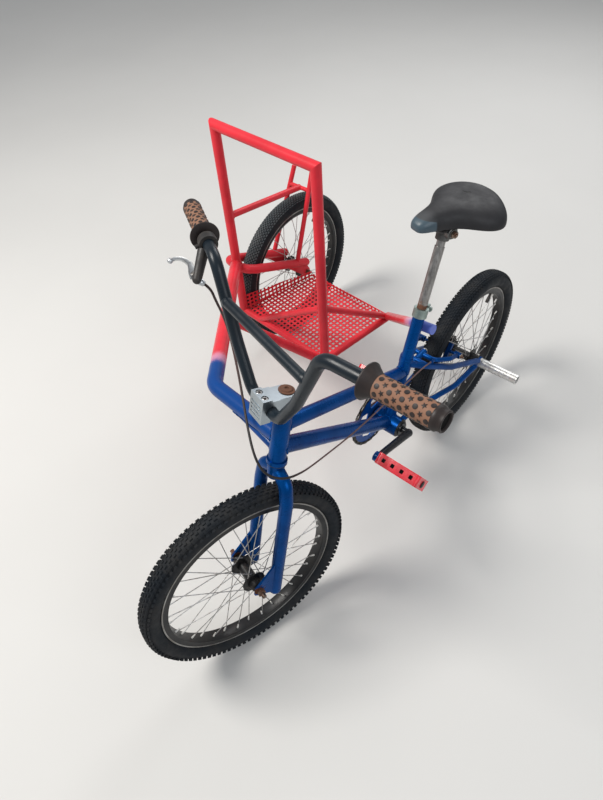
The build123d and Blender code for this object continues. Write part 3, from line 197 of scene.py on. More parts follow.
class Shader:
    """One material's nodes, from its coordinates to its surface."""

    def __init__(self, name: str) -> None:
        """Starts a material with a Principled surface and object coordinates."""
        self.material = bpy.data.materials.new(name)
        self.material.use_nodes = True
        self.tree = self.material.node_tree
        self.tree.nodes.clear()
        self.surface = self.node("ShaderNodeBsdfPrincipled", {})
        self.node("ShaderNodeOutputMaterial", {"Surface": self.surface.outputs["BSDF"]})
        self.place = self.node("ShaderNodeTexCoord", {}).outputs["Object"]

    def node(self, kind: str, inputs: dict[str | int, object], **settings: object) -> bpy.types.Node:
        """Adds a node to the material."""
        return add_node(self.tree, kind, inputs, **settings)

    def feed(self, **sources: Socket | float) -> None:
        """Feeds the surface with values or other nodes' results; underscores stand for spaces."""
        for key, source in sources.items():
            socket = self.surface.inputs[key.replace("_", " ")]
            if isinstance(source, Socket):
                self.tree.links.new(source, socket)
            else:
                socket.default_value = source

    def noise(
        self, scale: float, detail: float = 4.0, rough: float = 0.55, stretch: Triple | None = None, twist: float = 0.0
    ) -> Socket:
        """A cloudy pattern from 0 to 1.

        Args:
            scale: Clouds per metre.
            detail: How many finer layers it has.
            rough: How strong the finer layers are.
            stretch: A scale for each axis, or None.
            twist: How far it is distorted.

        Returns:
            The pattern's factor.
        """
        place = self.place
        if stretch is not None:
            place = self.node("ShaderNodeMapping", {"Vector": place, "Scale": stretch}).outputs["Vector"]
        inputs = {"Vector": place, "Scale": scale, "Detail": detail, "Roughness": rough, "Distortion": twist}
        return self.node("ShaderNodeTexNoise", inputs).outputs["Fac"]

    def cells(self, scale: float) -> Socket:
        """The distance in a pattern of cells."""
        return self.node("ShaderNodeTexVoronoi", {"Vector": self.place, "Scale": scale}).outputs["Distance"]

    def span(self, source: Socket, low: float, high: float, start: float = 0.0, end: float = 1.0) -> Socket:
        """Maps low..high smoothly to start..end and holds the ends.

        Args:
            source: The value that is mapped.
            low: The value that gives start.
            high: The value that gives end.
            start: The first result.
            end: The last result.

        Returns:
            The mapped value.
        """
        inputs = {"Value": source, "From Min": low, "From Max": high, "To Min": start, "To Max": end}
        return self.node("ShaderNodeMapRange", inputs, interpolation_type="SMOOTHSTEP").outputs["Result"]

    def math(self, kind: str, first: Socket, second: Socket | float) -> Socket:
        """One sum on two values, held to 0..1."""
        return self.node("ShaderNodeMath", {0: first, 1: second}, operation=kind, use_clamp=True).outputs[0]

    def vector(self, kind: str, first: Socket, second: Vector) -> bpy.types.Node:
        """One sum on a vector and a fixed one."""
        return self.node("ShaderNodeVectorMath", {0: first, 1: second}, operation=kind)

    def near(self, spot: Spot) -> Socket:
        """1 in the middle of a spot, 0 beyond it."""
        away = self.vector("DISTANCE", self.place, row(spot.centre)).outputs["Value"]
        return self.span(away, spot.inner * MM, spot.outer * MM, 1.0, 0.0)

    def rusted(self, spot: Spot, cloud: Socket, low: float) -> Socket:
        """Where rust breaks through in a spot.

        Args:
            spot: Where the rust lies.
            cloud: The pattern that breaks it up.
            low: How strong the pattern has to be.

        Returns:
            How much of the finish is rust.
        """
        patch = self.near(spot)
        broken = self.span(self.math("ADD", cloud, self.math("SUBTRACT", patch, 0.5)), low, 0.66)
        return self.math("MULTIPLY", broken, self.span(patch, 0.0, 0.15))

    def along(self, start: Vector | Triple, end: Vector | Triple) -> Socket:
        """0 at one point and 1 at another, measured along the line between them."""
        low, high = row(start), row(end)
        run = high - low
        share = run / run.length_squared
        base = low.dot(run) / run.length_squared
        return self.span(self.vector("DOT_PRODUCT", self.place, share).outputs["Value"], base, base + 1.0)

    def off_axis(self, centre: Vector, axis: Vector) -> Socket:
        """The distance in metres from an axis."""
        away = self.vector("SUBTRACT", self.place, row(centre)).outputs[0]
        across = self.vector("CROSS_PRODUCT", away, axis.normalized()).outputs[0]
        return self.node("ShaderNodeVectorMath", {0: across}, operation="LENGTH").outputs["Value"]

    def mix(self, factor: Socket, first: Socket | Triple, second: Socket | Triple) -> Socket:
        """A colour between two, each a colour or a socket."""
        node = self.node("ShaderNodeMix", {"Factor": factor}, data_type="RGBA")
        for socket, value in zip([s for s in node.inputs if s.type == "RGBA"], (first, second)):
            if isinstance(value, tuple):
                socket.default_value = (*value, 1.0)
            else:
                self.tree.links.new(value, socket)
        return next(s for s in node.outputs if s.type == "RGBA")

    def bump(self, height: Socket, strength: float, depth: float) -> None:
        """Adds relief; a second call lies over the first."""
        inputs = {"Height": height, "Strength": strength, "Distance": depth * MM}
        held = self.surface.inputs["Normal"].links
        if held:
            inputs["Normal"] = held[0].from_socket
        self.feed(Normal=self.node("ShaderNodeBump", inputs).outputs["Normal"])


@dataclass(frozen=True)
class Paint:
    """Sprayed or baked paint with chips, rust and dust."""

    colour: Triple
    shade: Triple
    metallic: float = 0.0
    roughness: float = 0.35
    coat: float = 0.3
    chips: float = 0.70
    chip_colour: Triple = (0.28, 0.27, 0.26)
    rust_spots: tuple[Spot, ...] = ()
    fade_to: Triple | None = None
    fade_from: Triple = (0.0, 0.0, 0.0)
    fade_end: Triple = (0.0, 0.0, 1.0)
    pale: float = 0.0
    film: float = 0.12
    gloss: float = 0.25

    def faded(self, s: Shader, base: Socket) -> Socket:
        """Sprays the second colour over the first, with a pale band where they meet."""
        grain = s.math("MULTIPLY", s.noise(420.0, 2.0, 0.6), 0.34)
        reach = s.math("ADD", s.along(self.fade_from, self.fade_end), grain)
        base = s.mix(s.span(reach, 0.30, 0.92), base, self.fade_to)
        if self.pale > 0.0:
            band = s.math("MULTIPLY", s.span(reach, 0.22, 0.5), s.span(reach, 0.62, 0.98, 1.0, 0.0))
            base = s.mix(s.math("MULTIPLY", band, self.pale), base, PINK)
        return base

    def make(self, name: str) -> bpy.types.Material:
        """The paint as a material."""
        s = Shader(name)
        base = s.mix(s.span(s.noise(9.0, 5.0, 0.6), 0.3, 0.7), self.colour, self.shade)
        if self.fade_to is not None:
            base = self.faded(s, base)
        worn = s.span(s.noise(95.0, 6.0, 0.7, twist=0.4), self.chips, self.chips + 0.03)
        base = s.mix(worn, base, self.chip_colour)
        tone = s.mix(s.noise(160.0, 4.0, 0.7), RUST_DARK, RUST_LIGHT)
        rust = s.span(s.noise(140.0, 6.0, 0.7), self.chips + 0.02, self.chips + 0.05)
        base = s.mix(rust, base, tone)
        cloud = s.noise(55.0, 6.0, 0.72, twist=0.6)
        for spot in self.rust_spots:
            here = s.rusted(spot, cloud, 0.52)
            base = s.mix(here, base, tone)
            rust = s.math("MAXIMUM", rust, here)
        base = s.mix(s.span(s.noise(22.0, 5.0, 0.65), 0.4, 0.9, 0.0, self.film), base, DUST)
        rough = s.span(s.noise(30.0, 4.0, 0.6), 0.2, 0.8, self.roughness - 0.06, self.roughness + 0.12)
        s.feed(Base_Color=base, Roughness=s.math("MAXIMUM", rough, s.math("MULTIPLY", rust, 0.85)))
        s.feed(Metallic=self.metallic, Coat_Weight=self.coat, Coat_Roughness=0.16, Specular_IOR_Level=self.gloss)
        s.bump(s.noise(260.0, 3.0, 0.5), 0.10, 0.25)
        s.bump(s.math("MAXIMUM", rust, worn), 0.35, -0.25)
        return s.material


@dataclass(frozen=True)
class Steel:
    """Bare or plated metal with scratches, tarnish and rust."""

    colour: Triple
    dark: Triple
    roughness: float = 0.35
    rust: float = 0.62
    rust_spots: tuple[Spot, ...] = ()
    metallic: float = 1.0
    streak: Triple = (1.0, 1.0, 1.0)
    scratched: float = 0.5
    relief: float = 1.0

    def make(self, name: str) -> bpy.types.Material:
        """The metal as a material."""
        s = Shader(name)
        cloud = s.noise(28.0, 6.0, 0.65, stretch=self.streak)
        base = s.mix(s.span(cloud, 0.3, 0.72), self.colour, self.dark)
        scratch = s.span(s.noise(210.0, 3.0, 0.7, stretch=(0.35, 1.0, 2.2)), 0.55, 0.8)
        base = s.mix(s.math("MULTIPLY", scratch, self.scratched), base, self.dark)
        tone = s.mix(s.noise(180.0, 5.0, 0.75), RUST_DARK, RUST_LIGHT)
        rust = s.span(s.noise(70.0, 7.0, 0.72, twist=0.5), self.rust, self.rust + 0.08)
        cloud = s.noise(60.0, 6.0, 0.7)
        for spot in self.rust_spots:
            rust = s.math("MAXIMUM", rust, s.rusted(spot, cloud, 0.48))
        low, high = self.roughness - 0.08 * self.relief, self.roughness + 0.14 * self.relief
        rough = s.span(s.noise(120.0, 4.0, 0.6), 0.25, 0.8, low, high)
        s.feed(Base_Color=s.mix(rust, base, tone), Metallic=s.span(rust, 0.0, 1.0, self.metallic, 0.0))
        s.feed(Roughness=s.math("MAXIMUM", rough, s.math("MULTIPLY", rust, 0.9)))
        s.bump(s.noise(320.0, 3.0, 0.6), 0.08 * self.relief, 0.2)
        s.bump(rust, 0.45, 0.3)
        return s.material


@dataclass(frozen=True)
class Rubber:
    """Matt rubber or soft plastic, dusty in patches."""

    colour: Triple
    dust: Triple = DUST
    dust_amount: float = 0.5
    roughness: float = 0.72
    grain: float = 350.0
    relief: float = 0.2
    gloss: float = 0.3
    fade_to: Triple | None = None
    fade_line: tuple[Triple, Triple] = ((0.0, 0.0, 0.0), (0.0, 0.0, 1.0))

    def make(self, name: str) -> bpy.types.Material:
        """The rubber as a material."""
        s = Shader(name)
        wide = s.span(s.noise(16.0, 6.0, 0.68, twist=0.3), 0.34, 0.74, 0.0, self.dust_amount)
        fine = s.span(s.noise(130.0, 5.0, 0.7), 0.25, 0.75, 0.35, 1.0)
        base = s.mix(s.math("MULTIPLY", wide, fine), self.colour, self.dust)
        if self.fade_to is not None:
            base = s.mix(s.along(*self.fade_line), base, self.fade_to)
        rough = s.span(s.noise(60.0, 4.0, 0.6), 0.2, 0.8, self.roughness - 0.1, self.roughness + 0.14)
        s.feed(Base_Color=base, Roughness=rough, Specular_IOR_Level=self.gloss)
        s.bump(s.noise(self.grain, 4.0, 0.6), 0.25, self.relief)
        return s.material


@dataclass(frozen=True)
class Resin:
    """Clear coloured plastic, scuffed."""

    colour: Triple
    deep: Triple
    scuffed: Triple = (0.80, 0.22, 0.22)

    def make(self, name: str) -> bpy.types.Material:
        """The resin as a material."""
        s = Shader(name)
        base = s.mix(s.span(s.noise(24.0, 4.0, 0.6), 0.3, 0.7), self.colour, self.deep)
        scuff = s.span(s.noise(190.0, 5.0, 0.75), 0.62, 0.72)
        base = s.mix(s.math("MULTIPLY", scuff, 0.25), base, self.scuffed)
        s.feed(Base_Color=base, Roughness=s.span(scuff, 0.0, 1.0, 0.2, 0.55), Specular_IOR_Level=0.3)
        s.feed(Transmission_Weight=0.04, IOR=1.49, Coat_Weight=0.08, Subsurface_Weight=0.06)
        s.bump(s.noise(240.0, 3.0, 0.6), 0.12, 0.25)
        return s.material


@dataclass(frozen=True)
class Leather:
    """Black grained cover with a smooth nose flap, worn shiny in places and torn; the shiny patch has a painted
    highlight, the flap a painted sky reflection and the tear a painted shadow.
    """

    colour: Triple
    worn: Triple
    gloss: Spot
    nose: tuple[Triple, Triple]
    seam: tuple[Triple, Triple]
    tear: tuple[Spot, ...]
    # painted light on the cover: a highlight on the shiny patch, a sky reflection on the flap, a shadow in the tear
    sheen_highlight_colour: Triple = (0.10, 0.105, 0.11)
    flap_sky_reflection_colour: Triple = (0.050, 0.078, 0.100)
    slit_shadow_colour: Triple = (0.002, 0.002, 0.002)

    def make(self, name: str) -> bpy.types.Material:
        """The cover as a material."""
        s = Shader(name)
        shine = s.near(self.gloss)
        base = s.mix(s.span(s.noise(18.0, 5.0, 0.62), 0.4, 0.8, 0.0, 0.55), self.colour, self.worn)
        # the shiny patch is made smoother and also painted lighter as its highlight
        base = s.mix(s.math("MULTIPLY", shine, 0.5), base, self.sheen_highlight_colour)
        # the smooth flap is painted blue-grey as a reflection of the sky
        flap = s.math("MULTIPLY", s.along(*self.nose), s.along(*self.seam))
        base = s.mix(flap, base, self.flap_sky_reflection_colour)
        # the tear is painted near-black as the shadow inside it
        slit = s.near(self.tear[0])
        for spot in self.tear[1:]:
            slit = s.math("MAXIMUM", slit, s.near(spot))
        soft = s.span(s.noise(45.0, 4.0, 0.6), 0.2, 0.8, 0.50, 0.68)
        smoothed = s.math("MULTIPLY", s.math("MAXIMUM", shine, flap), 0.22)
        s.feed(Base_Color=s.mix(slit, base, self.slit_shadow_colour), Roughness=s.math("SUBTRACT", soft, smoothed))
        s.feed(Specular_IOR_Level=0.36)
        s.bump(s.span(s.math("MAXIMUM", slit, s.math("MULTIPLY", flap, 0.25)), 0.0, 1.0, 1.0, 0.0), 0.6, 1.6)
        s.bump(s.cells(620.0), 0.25, 0.25)
        s.bump(s.noise(70.0, 5.0, 0.6), 0.25, 0.8)
        return s.material


@dataclass(frozen=True)
class LacedHub:
    """A dark hub shell whose spokes are bright and dusty."""

    centre: Vector
    axle: Vector
    shell_r: float = 28.5

    def make(self, name: str) -> bpy.types.Material:
        """The hub and its spokes as a material."""
        s = Shader(name)
        out = s.off_axis(self.centre, self.axle)
        spoke = s.span(out, (self.shell_r - 0.6) * MM, (self.shell_r + 0.6) * MM)
        shell = s.mix(s.span(s.noise(60.0, 6.0, 0.7), 0.5, 0.75), (0.010, 0.010, 0.011), (0.06, 0.05, 0.042))
        wire = s.mix(s.span(s.noise(90.0, 5.0, 0.7), 0.42, 0.7), (0.50, 0.50, 0.50), (0.24, 0.21, 0.18))
        s.feed(Base_Color=s.mix(spoke, shell, wire), Metallic=s.span(spoke, 0.0, 1.0, 0.1, 0.95))
        s.feed(Specular_IOR_Level=0.25, Roughness=s.span(s.noise(110.0, 4.0, 0.6), 0.2, 0.8, 0.3, 0.5))
        s.bump(s.noise(300.0, 3.0, 0.6), 0.1, 0.2)
        return s.material


FRAME_RUST = (Spot((0.0, -368.0, 268.0), 8.0, 34.0),)
FORK_RUST = (Spot((45.0, -905.0, 262.0), 4.0, 20.0), Spot((-62.0, -870.0, 256.0), 4.0, 20.0))
RIM_RUST = (Spot((14.0, 47.6, 169.9), 5.0, 18.0), Spot((14.0, 9.2, 140.0), 5.0, 18.0))
POST_RUST = (Spot((0.0, -269.0, 582.0), 8.0, 34.0), Spot((0.0, -262.0, 600.0), 4.0, 30.0))
PEG_RUST = (Spot((124.0, -2.0, 228.0), 4.0, 32.0),)
SADDLE_TEAR = (
    Spot((1.5, -146.5, 833.0), 2.2, 3.6), Spot((5.0, -146.0, 833.0), 2.4, 3.8),
    Spot((9.0, -145.4, 833.0), 3.0, 4.6), Spot((13.0, -144.0, 833.0), 4.2, 6.0),
)
RECIPES: dict[str, Paint | Steel | Rubber | Resin | Leather | LacedHub] = {
    "frame_blue": Paint(BLUE, BLUE_DEEP, 0.55, 0.25, 0.02, 0.75, rust_spots=FRAME_RUST, film=0.02, gloss=0.03),
    "stay_blue": Paint(BLUE, BLUE_DEEP, 0.4, 0.32, 0.05, 0.66, rust_spots=FRAME_RUST, film=0.07, gloss=0.03),
    "fork_blue": Paint(BLUE, BLUE_DEEP, 0.55, 0.26, 0.02, 0.74, rust_spots=FORK_RUST, film=0.02, gloss=0.03),
    "sidecar_red": Paint(RED, RED_DEEP, 0.0, 0.38, 0.12, 0.76, (0.85, 0.42, 0.38), film=0.05, gloss=0.14),
    "arm_paint": Paint(
        RED, RED_DEEP, 0.0, 0.36, 0.35, 0.72, (0.80, 0.5, 0.5), (), (0.002, 0.048, 0.22),
        (-306.0, -618.0, 554.0), (-240.0, -688.0, 578.0), pale=0.6, film=0.03, gloss=0.06,
    ),
    "link_paint": Paint(
        RED, RED_DEEP, 0.0, 0.36, 0.35, 0.72, (0.80, 0.5, 0.5), (), (0.10, 0.15, 0.52),
        (-110.0, -148.0, 425.0), (10.0, -251.0, 540.0), pale=0.65, film=0.05, gloss=0.2,
    ),
    "pan_red": Paint(RED, RED_DEEP, 0.0, 0.42, 0.1, 0.72, (0.80, 0.45, 0.4), film=0.1, gloss=0.2),
    # near-black paint; its blue tint is a painted reflection of the sky
    "black_paint": Paint(
        (0.004, 0.008, 0.013), (0.007, 0.014, 0.021), 0.0, 0.30, 0.0, 0.74, (0.20, 0.19, 0.18), film=0.01, gloss=0.30
    ),
    "crank_paint": Paint(
        (0.008, 0.009, 0.012), (0.014, 0.015, 0.018), 0.1, 0.24, 0.12, 0.72, (0.20, 0.19, 0.18), (), BLUE,
        (66.0, -492.0, 337.5), (66.0, -505.4, 341.8), film=0.04, gloss=0.22,
    ),
    "ring_blue": Paint(BLUE, (0.004, 0.07, 0.34), 0.4, 0.32, 0.06, 0.70, film=0.05, gloss=0.15),
    "rim_black": Paint(
        (0.009, 0.010, 0.012), (0.018, 0.018, 0.018), 0.2, 0.40, 0.1, 0.68, (0.24, 0.23, 0.22), RIM_RUST,
        film=0.06, gloss=0.25,
    ),
    "rim_edge": Steel((0.36, 0.36, 0.35), (0.18, 0.165, 0.15), 0.42, 0.64),
    "chain_black": Steel((0.11, 0.10, 0.09), (0.04, 0.035, 0.03), 0.45, 0.60),
    "stem_silver": Steel(
        (0.40, 0.45, 0.485), (0.31, 0.345, 0.37), 0.33, 0.84, streak=(0.5, 0.5, 0.5), scratched=0.12, relief=0.15
    ),
    "rusty_steel": Steel((0.26, 0.20, 0.16), (0.12, 0.08, 0.06), 0.5, 0.44),
    "post_steel": Steel((0.42, 0.41, 0.40), (0.20, 0.19, 0.18), 0.36, 0.68, POST_RUST, streak=(6.0, 6.0, 0.6)),
    "quill_rust": Steel((0.15, 0.095, 0.078), (0.075, 0.045, 0.036), 0.55, 0.36),
    "cradle_grey": Steel((0.17, 0.17, 0.165), (0.085, 0.08, 0.075), 0.46, 0.64),
    "clamp_alloy": Steel((0.40, 0.47, 0.44), (0.20, 0.25, 0.23), 0.44, 0.70),
    "peg_steel": Steel((0.86, 0.87, 0.86), (0.62, 0.60, 0.57), 0.34, 0.74, PEG_RUST, 0.75, (5.0, 0.6, 0.6)),
    "brake_steel": Steel((0.09, 0.09, 0.095), (0.035, 0.034, 0.033), 0.42, 0.60),
    # near-black: painted shade for the grips' open ends and the pedals' windows
    "deep_dark": Rubber((0.003, 0.003, 0.003), (0.02, 0.014, 0.012), 0.2, 0.8, 300.0, 0.05, 0.1),
    "lever_black": Rubber((0.018, 0.018, 0.02), DUST, 0.25, 0.45, 500.0, 0.08),
    "lever_alloy": Steel((0.66, 0.68, 0.70), (0.42, 0.43, 0.44), 0.40, 0.80),
    "grip_brown": Rubber((0.215, 0.102, 0.060), (0.33, 0.235, 0.18), 0.35, 0.62, 420.0, 0.12),
    "grip_dark": Rubber((0.016, 0.012, 0.012), (0.075, 0.050, 0.040), 0.35, 0.5, 420.0, 0.1),
    "pedal_red": Resin((0.85, 0.035, 0.055), (0.55, 0.012, 0.022)),
    # the side tyre's tread blocks: dusty, and painted lighter still as a highlight from above
    "tread_pale": Rubber((0.045, 0.055, 0.060), (0.10, 0.10, 0.095), 0.4, 0.55, 300.0, 0.25, 0.4),
    "tyre_black": Rubber((0.008, 0.011, 0.015), (0.075, 0.063, 0.050), 0.32, 0.62, 300.0, 0.25, 0.16),
    "front_hub_laced": LacedHub(FRONT_AXLE, FRONT_AXLE_X),
    "rear_hub_laced": LacedHub(REAR_AXLE, LEFT, 42.0),
    "side_hub_laced": LacedHub(SIDE_AXLE, LEFT),
    "nipple_pale": Steel((0.80, 0.79, 0.76), (0.6, 0.58, 0.54), 0.42, 0.80, metallic=0.4),
    "cable_black": Rubber(
        (0.012, 0.012, 0.014), DUST, 0.15, 0.42, 700.0, 0.05, 0.2, (0.12, 0.072, 0.066),
        ((60.0, -800.0, 560.0), (60.0, -690.0, 535.0)),
    ),
    "saddle_black": Leather(
        (0.012, 0.012, 0.014), (0.027, 0.026, 0.029), Spot((-20.0, -276.0, 822.0), 10.0, 40.0),
        ((-13.0, -250.0, 812.0), (-14.2, -254.0, 812.0)), ((-12.0, -252.0, 822.5), (-12.0, -252.6, 820.5)), SADDLE_TEAR,
    ),
    "bolt_steel": Steel((0.52, 0.52, 0.52), (0.28, 0.26, 0.24), 0.34, 0.60),
}
SHOWN_AS = {
    "frame_blue": "bottom_bracket head_tube seat_tube top_tube down_tube",
    "stay_blue": "chain_stays seat_stays rear_brake",
    "fork_blue": "fork",
    "sidecar_red": "hoop front_strut pan_edges hoop_braces side_fork side_struts",
    "arm_paint": "outrigger",
    "link_paint": "link_tube",
    "pan_red": "pan",
    "black_paint": "handlebar handlebar_crossbar",
    "crank_paint": "crank",
    "ring_blue": "chainring",
    "chain_black": "chain",
    "stem_silver": "stem stem_cap",
    "rusty_steel": "stem_bolt front_axle rear_axle side_axle",
    "cradle_grey": "saddle_clamp",
    "post_steel": "seatpost",
    "clamp_alloy": "seat_clamp",
    "peg_steel": "rear_peg",
    "lever_black": "brake_lever",
    "lever_alloy": "brake_blade",
    "grip_brown": "grip_left grip_right",
    "pedal_red": "pedal_left pedal_right",
    "tyre_black": "front_tyre rear_tyre side_tyre",
    "rim_black": "front_rim rear_rim side_rim",
    "cable_black": "brake_cable",
    "saddle_black": "saddle",
    "front_hub_laced": "front_hub",
    "rear_hub_laced": "rear_hub",
    "side_hub_laced": "side_hub",
}


def linked(name: str, data: bpy.types.ID) -> bpy.types.Object:
    """A new object in the scene, at the origin."""
    obj = bpy.data.objects.new(name, data)
    bpy.context.scene.collection.objects.link(obj)
    return obj


def baked(obj: bpy.types.Object) -> bpy.types.Mesh:
    """An object's mesh after its modifiers, or the points of its curve."""
    graph = bpy.context.evaluated_depsgraph_get()
    return bpy.data.meshes.new_from_object(obj.evaluated_get(graph), depsgraph=graph)


def circle(count: int, radius: float = 1.0, phase: float = 0.0) -> Profile:
    """Points round a circle; phase is a share of a step."""
    turns = (math.tau * (k + phase) / count for k in range(count))
    return [(radius * math.cos(a), radius * math.sin(a)) for a in turns]


def skin(rings: int, around: int) -> list[Face]:
    """The faces over rings of points, one ring after the other, and over both ends."""
    faces: list[Face] = [
        (i * around + k, i * around + (k + 1) % around, (i + 1) * around + (k + 1) % around, (i + 1) * around + k)
        for i in range(rings - 1)
        for k in range(around)
    ]
    return [*faces, tuple(range(around)), tuple(range((rings - 1) * around, rings * around))]


@contextmanager
def editing(mesh: bpy.types.Mesh) -> Iterator[bmesh.types.BMesh]:
    """Opens a mesh for edits and writes them back to it."""
    work = bmesh.new()
    work.from_mesh(mesh)
    yield work
    work.to_mesh(mesh)
    work.free()


def shown(name: str, mesh: bpy.types.Mesh, shading: Smooth) -> bpy.types.Object:
    """Cleans a mesh, points its faces outwards and links it as a piece."""
    with editing(mesh) as work:
        bmesh.ops.remove_doubles(work, verts=work.verts, dist=WELD_GAP)
        bmesh.ops.recalc_face_normals(work, faces=work.faces)
        limit = math.radians(shading.value)
        for face in work.faces:
            face.smooth = shading is not Smooth.FLAT
        for edge in work.edges:
            edge.smooth = len(edge.link_faces) != 2 or edge.calc_face_angle(0.0) <= limit
    return linked(name, mesh)


def mesh_piece(name: str, verts: list[Vector], faces: list[Face], shading: Smooth = Smooth.EDGES) -> bpy.types.Object:
    """A piece from points in millimetres and faces.

    Args:
        name: The piece's name.
        verts: Points in these axes, in millimetres.
        faces: Loops of point numbers.
        shading: How its edges are shaded.

    Returns:
        The new object, at the origin.
    """
    mesh = bpy.data.meshes.new(name)
    mesh.from_pydata([row(v) for v in verts], [], faces)
    return shown(name, mesh, shading)


def frame_on(origin: Vector, along: Vector, near: Vector = UP) -> Matrix:
    """A place whose Z runs along a direction and whose X leans to another.

    Args:
        origin: The place, in millimetres.
        along: Where its Z points.
        near: Where its X points as nearly as it can.

    Returns:
        The place as a matrix.
    """
    z = along.normalized()
    x = near - z * near.dot(z)
    if x.length < 1e-6:
        x = LEFT - z * z.x
    x.normalize()
    return Matrix.Translation(origin) @ Matrix((x, z.cross(x), z)).transposed().to_4x4()


def turned_piece(name: str, profile: Profile, place: Matrix, around: int) -> bpy.types.Object:
    """A ring or knob turned about its place's Z axis.

    Args:
        name: The piece's name.
        profile: Points of (along, radius) round its section, in millimetres.
        place: Where it sits.
        around: How many faces go round.

    Returns:
        The new piece.
    """
    verts = [place @ Vector((r * c, r * s, z)) for c, s in circle(around) for z, r in profile]
    n = len(profile)
    steps = ((k * n, (k + 1) % around * n, i, (i + 1) % n) for k in range(around) for i in range(n))
    return mesh_piece(name, verts, [(k + i, j + i, j + m, k + m) for k, j, i, m in steps])


def tube_mesh(points: list[Vector], radius: float, around: int) -> tuple[list[Vector], list[Face]]:
    """The points and faces of a round tube with closed ends along a line."""
    verts: list[Vector] = []
    lean = Vector((0.31, 0.17, 0.93)).normalized()
    last = len(points) - 1
    for i, point in enumerate(points):
        z = (points[min(i + 1, last)] - points[max(i - 1, 0)]).normalized()
        lean = (lean - z * lean.dot(z)).normalized()
        side = z.cross(lean)
        verts += [point + (lean * c + side * s) * radius for c, s in circle(around)]
    return verts, skin(len(points), around)


def joined(name: str, pieces: list[bpy.types.Object]) -> bpy.types.Object:
    """Several new meshes as one piece; their materials and shading are kept."""
    mesh = bpy.data.meshes.new(name)
    with editing(mesh) as work:
        for piece in pieces:
            start = len(work.faces)
            work.from_mesh(piece.data)
            work.faces.ensure_lookup_table()
            for material in piece.data.materials:
                if material.name not in mesh.materials:
                    mesh.materials.append(material)
            slots = [mesh.materials.find(m.name) for m in piece.data.materials]
            for face in work.faces[start:]:
                face.material_index = slots[face.material_index] if slots else 0
    for piece in pieces:
        bpy.data.objects.remove(piece)
    return linked(name, mesh)


def dress(obj: bpy.types.Object, finish: bpy.types.Material) -> bpy.types.Object:
    """Gives a piece its only finish."""
    obj.data.materials.clear()
    obj.data.materials.append(finish)
    return obj


def fit(obj: bpy.types.Object, body: Body, slot: str, *nodes: str) -> bpy.types.Object:
    """Lets a piece ride on its body and hides what it stands for."""
    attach(obj, body.value)
    if nodes:
        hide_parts(*nodes)
    LOG.info("%s: %d faces on %s", obj.name, len(obj.data.polygons), body.value)
    return obj


